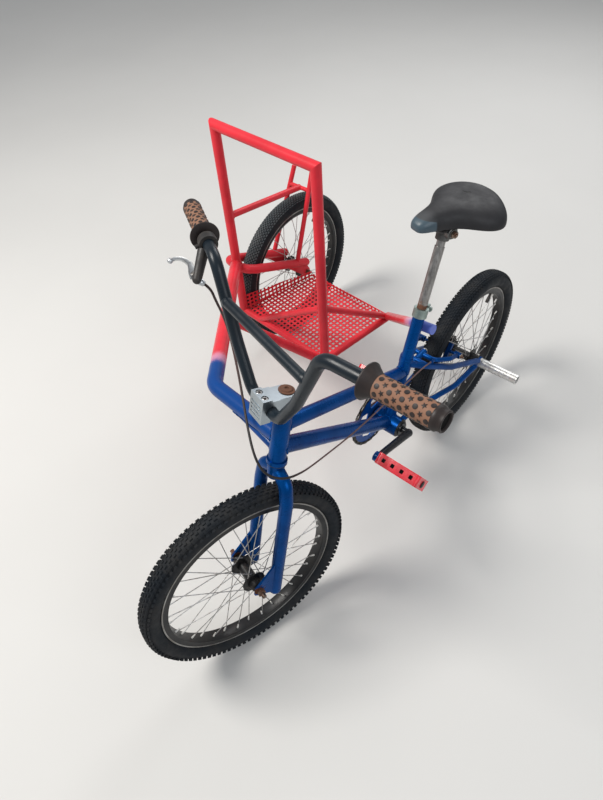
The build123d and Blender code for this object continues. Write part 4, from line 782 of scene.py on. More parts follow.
class Repeater:
    """Node trees that lay a small shape out round a ring, along a path or on a grid."""

    def __init__(self) -> None:
        """Builds the three trees."""
        self.ring = self._ring_tree()
        self.path = self._path_tree()
        self.grid = self._grid_tree()

    @staticmethod
    def _start(name: str, **inputs: str) -> tuple[bpy.types.NodeTree, bpy.types.Node, Socket]:
        """A tree with its named inputs, one geometry result and the shape that is repeated."""
        tree = bpy.data.node_groups.new(name, "GeometryNodeTree")
        for label, kind in {"Geometry": "Geometry", "Part": "Object", **inputs, "Finish": "Material"}.items():
            tree.interface.new_socket(label, in_out="INPUT", socket_type="NodeSocket" + kind)
        tree.interface.new_socket("Geometry", in_out="OUTPUT", socket_type="NodeSocketGeometry")
        start = tree.nodes.new("NodeGroupInput")
        info = add_node(tree, "GeometryNodeObjectInfo", {"Object": start.outputs["Part"]})
        return tree, start, info.outputs["Geometry"]

    @staticmethod
    def _end(tree: bpy.types.NodeTree, start: bpy.types.Node, result: Socket) -> bpy.types.NodeTree:
        """Makes the copies real, gives them their finish and closes the tree."""
        real = add_node(tree, "GeometryNodeRealizeInstances", {0: result}).outputs[0]
        paint = add_node(tree, "GeometryNodeSetMaterial", {"Geometry": real, "Material": start.outputs["Finish"]})
        add_node(tree, "NodeGroupOutput", {0: paint.outputs[0]})
        return tree

    def _ring_tree(self) -> bpy.types.NodeTree:
        """Copies round a circle about Z, each with its X outwards."""
        tree, start, part = self._start("ring_of_parts", Count="Int", Radius="Float", Across="Float", Turn="Float")
        given = start.outputs
        ring = add_node(tree, "GeometryNodeMeshCircle", {"Vertices": given["Count"], "Radius": given["Radius"]})
        where = tree.nodes.new("GeometryNodeInputPosition").outputs[0]
        aim = add_node(tree, "FunctionNodeAlignRotationToVector", {"Vector": where}, axis="X", pivot_axis="Z")
        copies = {"Points": ring.outputs["Mesh"], "Instance": part, "Rotation": aim.outputs["Rotation"]}
        copy = add_node(tree, "GeometryNodeInstanceOnPoints", copies).outputs["Instances"]
        lift = add_node(tree, "ShaderNodeCombineXYZ", {"Z": given["Across"]}).outputs[0]
        turn = add_node(tree, "ShaderNodeCombineXYZ", {"Z": given["Turn"]}).outputs[0]
        moved = add_node(tree, "GeometryNodeTransform", {"Geometry": copy, "Translation": lift, "Rotation": turn})
        return self._end(tree, start, moved.outputs[0])

    def _path_tree(self) -> bpy.types.NodeTree:
        """Copies along the piece's own line, each with its Z ahead, a little uneven in size."""
        tree, start, part = self._start("parts_on_path", Spacing="Float", Smallest="Float", Largest="Float", Seed="Int")
        given = start.outputs
        line = add_node(tree, "GeometryNodeMeshToCurve", {"Mesh": given["Geometry"]}).outputs[0]
        dots = add_node(tree, "GeometryNodeCurveToPoints", {"Curve": line, "Length": given["Spacing"]}, mode="LENGTH")
        chance = add_node(tree, "FunctionNodeRandomValue", {"Seed": given["Seed"]}, data_type="FLOAT")
        limits = [s for s in chance.inputs if s.type == "VALUE" and s.name in ("Min", "Max")]
        tree.links.new(given["Smallest"], limits[0])
        tree.links.new(given["Largest"], limits[1])
        copies = {name: dots.outputs[name] for name in ("Points", "Rotation")}
        copies |= {"Instance": part, "Scale": next(s for s in chance.outputs if s.type == "VALUE")}
        return self._end(tree, start, add_node(tree, "GeometryNodeInstanceOnPoints", copies).outputs["Instances"])

    def _grid_tree(self) -> bpy.types.NodeTree:
        """Copies on a square grid about the origin."""
        tree, start, part = self._start("grid_of_parts", Columns="Int", Rows="Int", Wide="Float", Deep="Float")
        names = {"Vertices X": "Columns", "Vertices Y": "Rows", "Size X": "Wide", "Size Y": "Deep"}
        grid = add_node(tree, "GeometryNodeMeshGrid", {key: start.outputs[name] for key, name in names.items()})
        copies = {"Points": grid.outputs["Mesh"], "Instance": part}
        return self._end(tree, start, add_node(tree, "GeometryNodeInstanceOnPoints", copies).outputs["Instances"])

    @staticmethod
    def part(name: str, verts: list[Triple], faces: list[Face]) -> bpy.types.Object:
        """A small shape about its own origin, in millimetres, to be repeated."""
        mesh = bpy.data.meshes.new(name)
        mesh.from_pydata([Vector(v) * MM for v in verts], [], faces)
        return linked(name, mesh)

    @staticmethod
    def run(
        tree: bpy.types.NodeTree, name: str, carrier: bpy.types.Mesh | None, place: Matrix | None,
        values: dict[str, object], shading: Smooth,
    ) -> bpy.types.Object:
        """Runs a tree and keeps its result as a plain piece.

        Args:
            tree: One of the trees above.
            name: The piece's name.
            carrier: The mesh that the tree reads, or None.
            place: Where the result is put, or None to leave it.
            values: The tree's inputs by name.
            shading: How the copies' edges are shaded.

        Returns:
            The new piece.
        """
        holder = linked(name + "_holder", carrier or bpy.data.meshes.new(name + "_empty"))
        modifier = holder.modifiers.new("layout", "NODES")
        modifier.node_group = tree
        for item in tree.interface.items_tree:
            if item.item_type == "SOCKET" and item.in_out == "INPUT" and item.name in values:
                modifier[item.identifier] = values[item.name]
        mesh = baked(holder)
        holder.modifiers.clear()
        bpy.data.objects.remove(holder)
        if place is not None:
            mesh.transform(TO_PACKED @ place @ Matrix.Scale(1.0 / MM, 4))
        return dress(shown(name, mesh, shading), values["Finish"])

    def round_ring(
        self, name: str, part: bpy.types.Object, count: int, radius: float, across: float, turn: float,
        place: Matrix, finish: bpy.types.Material, shading: Smooth = Smooth.EDGES,
    ) -> bpy.types.Object:
        """Lays a part out round a ring; radius and across are in millimetres."""
        values = {"Part": part, "Count": count, "Radius": radius * MM, "Across": across * MM, "Turn": turn}
        values["Finish"] = finish
        return self.run(self.ring, name, None, place, values, shading)

    def along_line(
        self, name: str, part: bpy.types.Object, points: list[Vector], spacing: float, sizes: tuple[float, float],
        seed: int, finish: bpy.types.Material, shading: Smooth = Smooth.ROUND,
    ) -> bpy.types.Object:
        """Lays a part out along a closed line of points; spacing is in millimetres."""
        line = bpy.data.meshes.new(name + "_line")
        edges = [(i, (i + 1) % len(points)) for i in range(len(points))]
        line.from_pydata([row(p) for p in points], edges, [])
        low, high = sizes
        values = {"Part": part, "Spacing": spacing * MM, "Smallest": low, "Largest": high, "Seed": seed}
        values["Finish"] = finish
        return self.run(self.path, name, line, None, values, shading)

    def on_grid(
        self, name: str, part: bpy.types.Object, columns: int, rows: int, pitch: float, finish: bpy.types.Material
    ) -> bpy.types.Object:
        """Lays a flat part out on a grid about the origin; pitch is in millimetres."""
        wide, deep = (columns - 1) * pitch * MM, (rows - 1) * pitch * MM
        values = {"Part": part, "Columns": columns, "Rows": rows, "Wide": wide, "Deep": deep, "Finish": finish}
        return self.run(self.grid, name, None, Matrix.Translation(-SHIFT), values, Smooth.FLAT)


@dataclass
class Assembly:
    """What every sub-assembly is made with."""

    finishes: dict[str, bpy.types.Material]
    repeater: Repeater

    def turned(self, name: str, profile: Profile, place: Matrix, around: int, finish: str) -> bpy.types.Object:
        """A turned piece in its finish."""
        return dress(turned_piece(name, profile, place, around), self.finishes[finish])


TYRE_SQUARE = 0.82
TYRE_FOOT = 52.0


@dataclass(frozen=True)
class Tread:
    """The blocks on a tyre: how many, how large and on which lines."""

    count: int
    lines: tuple[float, ...]
    wide: float
    long: float
    high: float
    taper: float
    finish: str = "tyre_black"
    sunk: float = 1.6

    def rows(self, side_half: float) -> list[tuple[float, float, float, float]]:
        """Each row's offset across, radius at its top, lean and share of a step."""
        crown, mid = WHEEL_R - self.high, WHEEL_R - side_half
        rows = []
        for index, line in enumerate(self.lines):
            a = math.acos(min(1.0, abs(line) / side_half) ** (1.0 / TYRE_SQUARE))
            lean = (math.pi / 2 - a) * 0.85 * (-1.0 if line > 0 else 1.0)
            out = self.high * 0.94
            top = mid + (crown - mid) * math.sin(a) + out * math.cos(lean)
            rows.append((line - out * math.sin(lean), top, lean, index % 2 * 0.5))
        return rows

    def block(self, lean: float) -> tuple[list[Triple], list[Face]]:
        """The points and faces of one block, leaning to its side of the tyre."""
        corners = []
        for up in (0, 1):
            grow = self.taper if up else 1.0
            x = 0.0 if up else -(self.high + self.sunk)
            for across, ahead in ((-1, -1), (1, -1), (1, 1), (-1, 1)):
                z = across * self.wide / 2 * grow
                tilted = x * math.cos(lean) - z * math.sin(lean), x * math.sin(lean) + z * math.cos(lean)
                corners.append((tilted[0], ahead * self.long / 2 * grow, tilted[1]))
        return corners, skin(2, 4)


SCALE_LINES = (-18.9, -15.0, -10.2, -5.1, 0.0, 5.1, 10.2, 15.0, 18.9)
KNOBS = Tread(108, (-18.6, -13.2, -6.6, 0.0, 6.6, 13.2, 18.6), 5.2, 8.6, 2.2, 0.8)
SCALES = Tread(138, SCALE_LINES, 4.3, 8.0, 1.5, 0.80)
# the side tyre's blocks, dusty and painted lighter as a highlight from above
DUSTY_HIGHLIT_SCALES = Tread(138, SCALE_LINES, 4.3, 8.0, 1.5, 0.80, "tread_pale")


@dataclass
class Wheel(Assembly):
    """One wheel's tyre with its tread, rim, nipples and valve."""

    name: str
    body: Body
    centre: Vector
    axle: Vector
    tread: Tread
    side_half: float
    rim_inner_r: float
    lip_r: float
    bead_half: float = 12.1
    seat_r: float = 204.5
    rim_half: float = 14.4
    rim_bed_r: float = 204.2
    rim_wall: float = 2.0
    spokes_a_side: int = 18
    around: int = 160
    valve_turn: float = math.radians(-40.0)

    def carcass_profile(self) -> Profile:
        """Points of (across, radius) round the tyre's section."""
        half = []
        low = self.lip_r + 2.0
        crown, mid = WHEEL_R - self.tread.high, WHEEL_R - self.side_half
        for k in range(13):
            a = math.radians(142.0 * k / 12 - TYRE_FOOT)
            rise = crown - mid if a > 0 else (mid - low) / math.sin(math.radians(TYRE_FOOT))
            half.append((self.side_half * max(0.0, math.cos(a)) ** TYRE_SQUARE, mid + rise * math.sin(a)))
        left = [(-x, r) for x, r in reversed(half[:-1])]
        seat = ((-1, self.lip_r), (-1, self.seat_r), (1, self.seat_r), (1, self.lip_r))
        bead = [(side * self.bead_half, r) for side, r in seat]
        return bead + half + left

    def tyre(self, place: Matrix) -> None:
        """The tyre: its body and its rows of blocks."""
        pieces = [self.turned(self.name + "_carcass", self.carcass_profile(), place, self.around, "tyre_black")]
        rubber = self.finishes[self.tread.finish]
        for index, (across, top, lean, step) in enumerate(self.tread.rows(self.side_half)):
            block = self.repeater.part("tread_block", *self.tread.block(lean))
            turn = math.tau / self.tread.count * step
            name = f"{self.name}_tread_{index}"
            pieces.append(
                self.repeater.round_ring(name, block, self.tread.count, top, across, turn, place, rubber, Smooth.FLAT)
            )
            bpy.data.objects.remove(block)
        fit(joined(self.name + "_tyre_tread", pieces), self.body, "tyre_black", self.name + "_tyre")

    def rim(self, place: Matrix) -> None:
        """The rim with its bare edges."""
        half, well, lip = self.rim_half, self.rim_half - self.rim_wall, self.lip_r
        bed, inner, base = self.rim_bed_r, self.rim_inner_r, self.rim_half - 4.0
        outline = [
            (-half, lip - 2.2), (-half + 0.7, lip - 8), (-half, bed - 7), (-base, inner), (base, inner),
            (half, bed - 7), (half - 0.7, lip - 8), (half, lip - 2.2), (well, lip - 2.2), (well, bed), (-well, bed),
            (-well, lip - 2.2),
        ]
        pieces = [self.turned(self.name + "_rim_section", outline, place, self.around, "rim_black")]
        bead = [(well - 0.1, 2.3), (well + 0.1, 0.5), (half - 0.8, 0.3)]
        bead += [(half + 0.3, 0.9), (half + 0.3, 3.6), (half - 0.1, 3.9)]
        for side in SIDES:
            edge = [(side * across, lip - down) for across, down in bead]
            pieces.append(self.turned(self.name + "_rim_edge", edge, place, self.around, "rim_edge"))
        fit(joined(self.name + "_rim_hoop", pieces), self.body, "rim_black", self.name + "_rim")

    def nipples(self, place: Matrix) -> None:
        """The nipples in the rim, one row for each side's spokes."""
        rings = [(x, circle(6, r)) for x, r in ((0.0, 2.1), (-5.5, 2.1), (-6.5, 1.5), (-12.5, 1.5))]
        nipple = self.repeater.part("nipple", [(x, y, z) for x, ring in rings for y, z in ring], skin(len(rings), 6))
        count, radius, pale = self.spokes_a_side, self.rim_inner_r + 0.5, self.finishes["nipple_pale"]
        sets = []
        for side, start in ((-1, 0.0), (1, 0.5)):
            turn = math.tau / count * start + math.pi / 2
            name = f"{self.name}_nipples_{side}"
            sets.append(self.repeater.round_ring(name, nipple, count, radius, side * 3.0, turn, place, pale))
        bpy.data.objects.remove(nipple)
        fit(joined(self.name + "_nipples", sets), self.body, "hub_steel")

    def valve(self) -> None:
        """The valve's stem, pointing at the hub."""
        top = (UP - self.axle * self.axle.z).normalized()
        out = top * math.cos(self.valve_turn) + self.axle.cross(top) * math.sin(self.valve_turn)
        place = frame_on(self.centre + out * self.rim_inner_r, -out)
        stem = [(-0.5, 5.6), (1.5, 5.6), (2.5, 4.2), (16.0, 4.0), (17.0, 4.6), (30.0, 4.6), (31.5, 3.8)]
        stem += [(31.5, 0.0), (-0.5, 0.0)]
        fit(self.turned(self.name + "_valve", stem, place, 16, "lever_black"), self.body, "tyre_black")

    def build(self) -> None:
        """Builds the wheel's pieces."""
        place = frame_on(self.centre, self.axle)
        self.tyre(place)
        self.rim(place)
        self.nipples(place)
        self.valve()


@dataclass
class Grips(Assembly):
    """Both grips: a guard ring, a sleeve with round and star marks and an open end."""

    corner: Triple = (160.6, -726.0, 915.0)
    tip: Triple = (348.0, -679.0, 918.0)
    bore: float = 11.4
    sleeve_r: float = 17.0
    guard_r: float = 27.0
    inner_reach: float = -116.0
    outer_reach: float = 6.0
    marks_around: int = 9
    marks_along: int = 9
    first_mark: float = 25.5
    mark_step: float = 9.7

    def place(self, side: float) -> Matrix:
        """The grip's inner end with Z along it, turned with the bar."""
        a, b = (Vector((side * p[0], *p[1:])) for p in (self.corner, self.tip))
        along = (b - a).normalized()
        return frame_on(BAR_TURN @ (b + along * self.inner_reach), BAR_AIM @ along)

    def mark(self, name: str, radii: list[float]) -> bpy.types.Object:
        """A thin raised disc facing X, round or with points."""
        n = len(radii)
        spots = [(r * c, r * s) for r, (c, s) in zip(radii, circle(n))]
        levels = ((-1.2, 1.0), (0.25, 1.0), (0.42, 0.8))
        return self.repeater.part(name, [(x, y * grow, z * grow) for x, grow in levels for y, z in spots], skin(3, n))

    def sleeve(self, place: Matrix) -> list[bpy.types.Object]:
        """The grip's turned pieces from the guard to the open end."""
        r, bore, rim, end = self.sleeve_r, self.bore, self.guard_r, self.outer_reach - self.inner_reach
        guard = [
            (0, bore), (0, r - 1), (0.8, rim - 2), (1.8, rim), (3.6, rim), (6.5, rim - 2.5), (10, r + 5.5),
            (14, r + 2.6), (18, r + 1.0), (19.5, r + 0.4), (19.5, bore),
        ]
        middle = [(19.3, bore), (19.3, r + 0.2), (20, r), (60, r - 0.3), (end - 15, r), (end - 15, bore)]
        cap = [
            (end - 15.2, bore), (end - 15.2, r + 0.3), (end - 14, r + 0.8), (end - 9.5, r + 0.6), (end - 7.5, r - 0.8),
            (end - 4, r - 1.9), (end - 1, r - 1.6), (end, r - 2.4), (end - 0.4, r - 4.4), (end - 3.0, r - 5.6),
            (end - 3.5, bore),
        ]
        # a near-black disc just inside the open end: painted shade for the depth of the hole
        hole = [(end - 3.3, 0.0), (end - 3.2, r - 5.0), (end - 3.6, r - 5.0), (end - 3.6, 0.0)]
        parts = ((guard, 56, "grip_dark"), (middle, 56, "grip_brown"), (cap, 48, "grip_dark"), (hole, 32, "deep_dark"))
        return [self.turned("sleeve", profile, place, around, finish) for profile, around, finish in parts]

    def build(self) -> None:
        """Builds both grips."""
        marks = (self.mark("round_mark", [3.7] * 12), self.mark("star_mark", [4.3, 2.0] * 5))
        radius, dark = self.sleeve_r, self.finishes["grip_dark"]
        for side, word in ((1, "left"), (-1, "right")):
            place = self.place(side)
            pieces = self.sleeve(place)
            for i in range(self.marks_along):
                turn = math.tau / self.marks_around * (i % 2) / 2
                across = self.first_mark + i * self.mark_step
                name = f"marks_{word}_{i}"
                ring = (self.marks_around, radius, across, turn, place, dark)
                pieces.append(self.repeater.round_ring(name, marks[i % 2], *ring))
            fit(joined(f"grip_{word}_sleeve", pieces), Body.STEERING, "grip_brown", f"grip_{word}")
        for mark in marks:
            bpy.data.objects.remove(mark)


@dataclass
class Saddle(Assembly):
    """The padded saddle, yawed a little on its post, with a glossy nose and a small tear."""

    post: Triple = (0.0, -206.25, 799.3)
    around: int = 48
    stations: tuple[tuple[float, float, float, float], ...] = (
        # ahead of the post, half width, height of the crown above the underside, the underside's height
        (84.0, 9.0, 12.0, 6.0),
        (81.0, 15.5, 18.5, 4.5),
        (73.0, 21.0, 26.0, 3.0),
        (59.0, 25.0, 32.0, 1.0),
        (41.0, 28.5, 37.5, -1.5),
        (18.0, 36.0, 41.0, -3.0),
        (-4.0, 51.0, 42.0, -3.5),
        (-26.0, 73.0, 44.0, -6.5),
        (-48.0, 88.0, 47.0, -10.5),
        (-70.0, 92.5, 49.5, -14.0),
        (-90.0, 87.0, 50.5, -15.5),
        (-106.0, 69.0, 48.5, -15.0),
        (-117.0, 43.0, 43.0, -13.5),
        (-121.5, 19.0, 34.0, -11.0),
    )

    def section(self, half: float, crown: float) -> Profile:
        """Points of (across, up) round one section, from the near edge over the crown."""
        points = []
        low = min(11.0, crown * 0.35)
        for c, s in circle(self.around):
            up = low + (crown - low) * s**0.85 if s > 0 else low - (low - 0.6) * abs(s) ** 0.4
            points.append((half * math.copysign(abs(c) ** 0.72, c), up))
        return points

    def build(self) -> None:
        forward = Vector((-math.sin(SADDLE_YAW), -math.cos(SADDLE_YAW), 0.0))
        left = Vector((-forward.y, forward.x, 0.0))
        verts = [
            Vector(self.post) + forward * ahead + left * across + UP * (under + up)
            for ahead, half, crown, under in self.stations
            for across, up in self.section(half, crown)
        ]
        pad = mesh_piece("saddle_cover", verts, skin(len(self.stations), self.around), Smooth.ROUND)
        finer = pad.modifiers.new("finer", "SUBSURF")
        finer.levels = finer.render_levels = 2
        mesh = baked(pad)
        pad.modifiers.clear()
        pad.data = mesh
        fit(dress(pad, self.finishes["saddle_black"]), Body.FRAME, "saddle_black", "saddle")


@dataclass
class Pan(Assembly):
    """The perforated sheet that the rider stands on, with its outer wall and rear lip."""

    front_outer: Triple = (-663.0, -236.0, 248.0)
    front_inner: Triple = (-304.0, -258.0, 248.0)
    rear_inner: Triple = (-268.0, 7.0, 248.0)
    rear_outer: Triple = (-590.0, 21.0, 248.0)
    wall_start: Triple = (-651.0, -228.0, 248.0)
    pitch: float = 14.6
    margin: float = 3.0
    hole: float = 9.0
    corner_cut: float = 1.3
    sheet: float = 2.2
    wall_front: float = 58.0
    wall_rear: float = 26.0
    lip_outer: float = 18.0
    lip_inner: float = 10.0

    def lattice(self, name: str, cell: bpy.types.Object, corners: list[Vector]) -> bpy.types.Object:
        """A piece of the perforated sheet, cut to a flat outline of four corners.

        Args:
            name: The piece's name.
            cell: One square of the sheet with its hole.
            corners: The outline in millimetres; the first two lie along the rows of holes.

        Returns:
            The new piece.
        """
        ahead = (corners[1] - corners[0]).normalized()
        normal = (corners[1] - corners[0]).cross(corners[-1] - corners[0]).normalized()
        place = Matrix.Translation(corners[0]) @ Matrix((ahead, normal.cross(ahead), normal)).transposed().to_4x4()
        flat = [place.inverted() @ c for c in corners]
        low = Vector([min(c[i] for c in flat) for i in (0, 1)])
        columns, rows = (math.ceil((max(c[i] for c in flat) - low[i]) / self.pitch) + 1 for i in (0, 1))
        net = self.repeater.on_grid(name, cell, columns, rows, self.pitch, self.finishes["pan_red"])
        reach = Vector((columns - 1, rows - 1)) * self.pitch / 2 + Vector((self.margin, self.margin))
        with editing(net.data) as work:
            bmesh.ops.translate(work, verts=work.verts, vec=(low + reach).to_3d() * MM)
            for a, b in zip(flat, flat[1:] + flat[:1]):
                geometry, outward = work.verts[:] + work.edges[:] + work.faces[:], (b - a).cross(UP)
                bmesh.ops.bisect_plane(
                    work, geom=geometry, plane_co=a * MM, plane_no=outward, clear_outer=True, dist=CUT_GAP
                )
            bmesh.ops.transform(work, matrix=TO_PACKED @ place @ Matrix.Scale(1.0 / MM, 4), verts=work.verts)
        return net

    def cell(self) -> bpy.types.Object:
        """One square of sheet round one rounded hole."""
        half, inner, eased = self.pitch / 2, self.hole / 2, self.hole / 2 - self.corner_cut
        turns = ((-1, -1), (1, -1), (1, 1), (-1, 1))
        outer = [(x * half, y * half, 0.0) for x, y in turns]
        hole = []
        for x, y in turns:
            pair = [(x * inner, y * eased, 0.0), (x * eased, y * inner, 0.0)]
            hole += pair if x == y else pair[::-1]
        faces: list[Face] = []
        for k in range(4):
            j = (k + 1) % 4
            faces += [(k, 4 + 2 * k, 5 + 2 * k), (k, 5 + 2 * k, 4 + 2 * j, j)]
        return self.repeater.part("pan_cell", outer + hole, faces)

    def build(self) -> None:
        """Builds the floor, the wall and the lip as one sheet."""
        cell = self.cell()
        a, b, c, d = (Vector(p) for p in (self.front_outer, self.front_inner, self.rear_inner, self.rear_outer))
        start = Vector(self.wall_start)
        parts = [
            self.lattice("pan_floor", cell, [b, c, d, a]),
            self.lattice("pan_wall", cell, [start, d, d + UP * self.wall_rear, start + UP * self.wall_front]),
            self.lattice("pan_lip", cell, [d, c, c + UP * self.lip_inner, d + UP * self.lip_outer]),
        ]
        bpy.data.objects.remove(cell)
        sheet = joined("pan_mesh", parts)
        with editing(sheet.data) as work:
            bmesh.ops.remove_doubles(work, verts=work.verts, dist=SHEET_GAP)
        thick = sheet.modifiers.new("thickness", "SOLIDIFY")
        thick.thickness = self.sheet * MM
        thick.offset = 0.0
        mesh = baked(sheet)
        sheet.modifiers.clear()
        bpy.data.objects.remove(sheet)
        fit(dress(shown("pan_mesh", mesh, Smooth.EDGES), self.finishes["pan_red"]), Body.FRAME, "pan_red", "pan")


@dataclass
class Chain(Assembly):
    """The chain's links round the chainring and the sprocket."""

    x: float = -42.5
    pitch: float = 12.7
    ring_teeth: int = 44
    cog_teeth: int = 16
    width: float = 6.5
    plate_h: float = 8.0
    plate_half: float = 0.5
    roller_r: float = 2.6

    def radius(self, teeth: int) -> float:
        """The pitch radius of a sprocket."""
        return self.pitch / (2 * math.sin(math.pi / teeth))

    def path(self) -> list[Vector]:
        """The chain's line: two arcs and the runs between them."""
        big, small = self.radius(self.ring_teeth), self.radius(self.cog_teeth)
        ahead = (REAR_AXLE - BB).normalized()
        rise = LEFT.cross(ahead)
        lean = math.acos((big - small) / (REAR_AXLE - BB).length)
        points = []
        for centre, r, start, sweep, steps in (
            (BB, big, lean, math.tau - 2 * lean, 40), (REAR_AXLE, small, -lean, 2 * lean, 18)
        ):
            for k in range(steps + 1):
                a = start + sweep * k / steps
                points.append(centre + (ahead * math.cos(a) + rise * math.sin(a)) * r)
        return [Vector((self.x, p.y, p.z)) for p in points]

    def plate(self) -> Profile:
        """A side plate's outline as (ahead, up) about its middle."""
        outline = []
        for end in (1, -1):
            for a in (math.radians(35 * k - 70) for k in range(5)):
                reach = self.pitch / 2 + math.cos(a) * self.plate_h * 0.42
                outline.append((end * reach, end * math.sin(a) * self.plate_h * 0.5))
        return outline

    def link(self) -> bpy.types.Object:
        """An inner and an outer pair of plates with their rollers, centred, Z ahead."""
        half = self.pitch / 2
        roller = [(z, y) for y, z in circle(8, self.roller_r)]
        rows = ((-half, 1.9), (half, 2.75))
        plates = [(self.plate(), z, side * out, self.plate_half) for side in (1, -1) for z, out in rows]
        rollers = [(roller, z, 0.0, self.width / 2) for z in (0.0, self.pitch)]
        verts: list[Triple] = []
        faces: list[Face] = []
        for outline, z_mid, x_mid, x_half in plates + rollers:
            base = len(verts)
            faces += [tuple(base + k for k in face) for face in skin(2, len(outline))]
            verts += [(x, y, z_mid + z) for x in (x_mid - x_half, x_mid + x_half) for z, y in outline]
        return self.repeater.part("chain_link", verts, faces)

    def build(self) -> None:
        """Builds the chain as one piece."""
        points = self.path()
        loop = sum((q - p).length for p, q in zip(points, points[1:] + points[:1]))
        step = loop / round(loop / (2 * self.pitch)) * 1.00001
        link, steel = self.link(), self.finishes["chain_black"]
        chain = self.repeater.along_line("chain_links", link, points, step, (1.0, 1.0), 0, steel, Smooth.EDGES)
        bpy.data.objects.remove(link)
        fit(chain, Body.FRAME, "chain_black", "chain")


@dataclass
class BrakeCable(Assembly):
    """The cable from the lever round the head tube to the rear caliper."""

    radius: float = 2.5
    around: int = 10
    thinned_by: float = 0.32
    thin_from: float = -790.0
    thin_over: float = 60.0
    points: tuple[Triple, ...] = (
        (-192.57, -698.8, 852.6),
        (-186.27, -691.8, 842.25),
        (-183.5, -688.0, 812.0),
        (-184.9, -678.8, 776.0),
        (-177.8, -678.4, 742.0),
        (-162.1, -687.2, 705.0),
        (-128.9, -711.9, 668.0),
        (-97.4, -737.1, 642.0),
        (-55.2, -771.5, 622.0),
        (-20.9, -796.3, 604.0),
        (3.5, -807.9, 590.0),
        (23.4, -809.1, 580.0),
        (39.7, -800.6, 573.0),
        (51.6, -785.1, 566.0),
        (57.6, -761.4, 558.0),
        (59.8, -734.1, 549.0),
        (57.4, -664.8, 528.0),
        (53.0, -590.4, 504.0),
        (47.1, -506.0, 483.0),
        (40.1, -411.2, 467.0),
        (40.2, -326.7, 459.0),
        (40.8, -291.2, 457.0),
        (44.3, -266.0, 456.0),
    )

    def thinned(self, verts: list[Vector], line: list[Vector]) -> list[Vector]:
        """Draws the tube in to a thinner cover behind the head tube."""
        for i, middle in enumerate(line):
            share = min(1.0, max(0.0, (middle.y - self.thin_from) / self.thin_over)) if middle.x > 0.0 else 0.0
            for k in range(i * self.around, (i + 1) * self.around):
                verts[k] = middle + (verts[k] - middle) * (1.0 - self.thinned_by * share)
        return verts

    def build(self) -> None:
        """Builds the cable as a tube along its smooth line."""
        curve = bpy.data.curves.new("cable_line", "CURVE")
        curve.dimensions = "3D"
        spline = curve.splines.new("NURBS")
        spline.points.add(len(self.points) - 1)
        for target, point in zip(spline.points, self.points):
            target.co = (*row(point), 1.0)
        spline.order_u = 3
        spline.use_endpoint_u = True
        spline.resolution_u = 6
        holder = linked("cable_line", curve)
        path = [v.co.copy() for v in baked(holder).vertices]
        bpy.data.objects.remove(holder)
        line = [p / MM - SHIFT for p in path]
        verts, faces = tube_mesh(line, self.radius, self.around)
        cable = dress(mesh_piece("brake_cable_housing", self.thinned(verts, line), faces), self.finishes["cable_black"])
        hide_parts("brake_cable")
        length = sum((q - p).length for p, q in zip(path, path[1:]))
        row((-130.0, -760.0, 770.0))
        row((-130.0, -760.0, 590.0))
        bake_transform(cable)
        tuple(path[0])
        [tuple(p) for p in path]
        LOG.info("brake cable: %.0f mm", length / MM)


def meeting_line(
    start: Vector, ahead: Vector, radius: float, centre: Vector, axis: Vector, other_radius: float
) -> list[Vector]:
    """The line on which a round tube meets another one.

    Args:
        start: A point on the first tube's axis, outside the second tube.
        ahead: Where the first tube runs to.
        radius: The first tube's radius.
        centre: A point on the second tube's axis.
        axis: The second tube's direction.
        other_radius: The second tube's radius.

    Returns:
        Points round the joint, in millimetres.
    """
    place = frame_on(start, ahead)
    run, axis = ahead.normalized(), axis.normalized()
    across = run - axis * run.dot(axis)
    square = across.length_squared
    points = []
    for x, y in circle(56, radius):
        point = place @ Vector((x, y, 0.0))
        off = (point - centre) - axis * (point - centre).dot(axis)
        half = off.dot(across)
        rest = half * half - square * (off.length_squared - other_radius**2)
        points.append(point + run * ((-half - math.sqrt(max(0.0, rest))) / square))
    return points


HEAD_R = 18.0
SHELL_R = 25.5
SEAT_R, SEAT_FOOT_R = 16.0, 14.3
TOP_R = 15.0
DOWN_R = 17.5
ARM_R = 17.5
GUSSET_R = 9.0
STRUT_R = 12.5
HOOP_R = 13.5
BRACE_R = 9.5


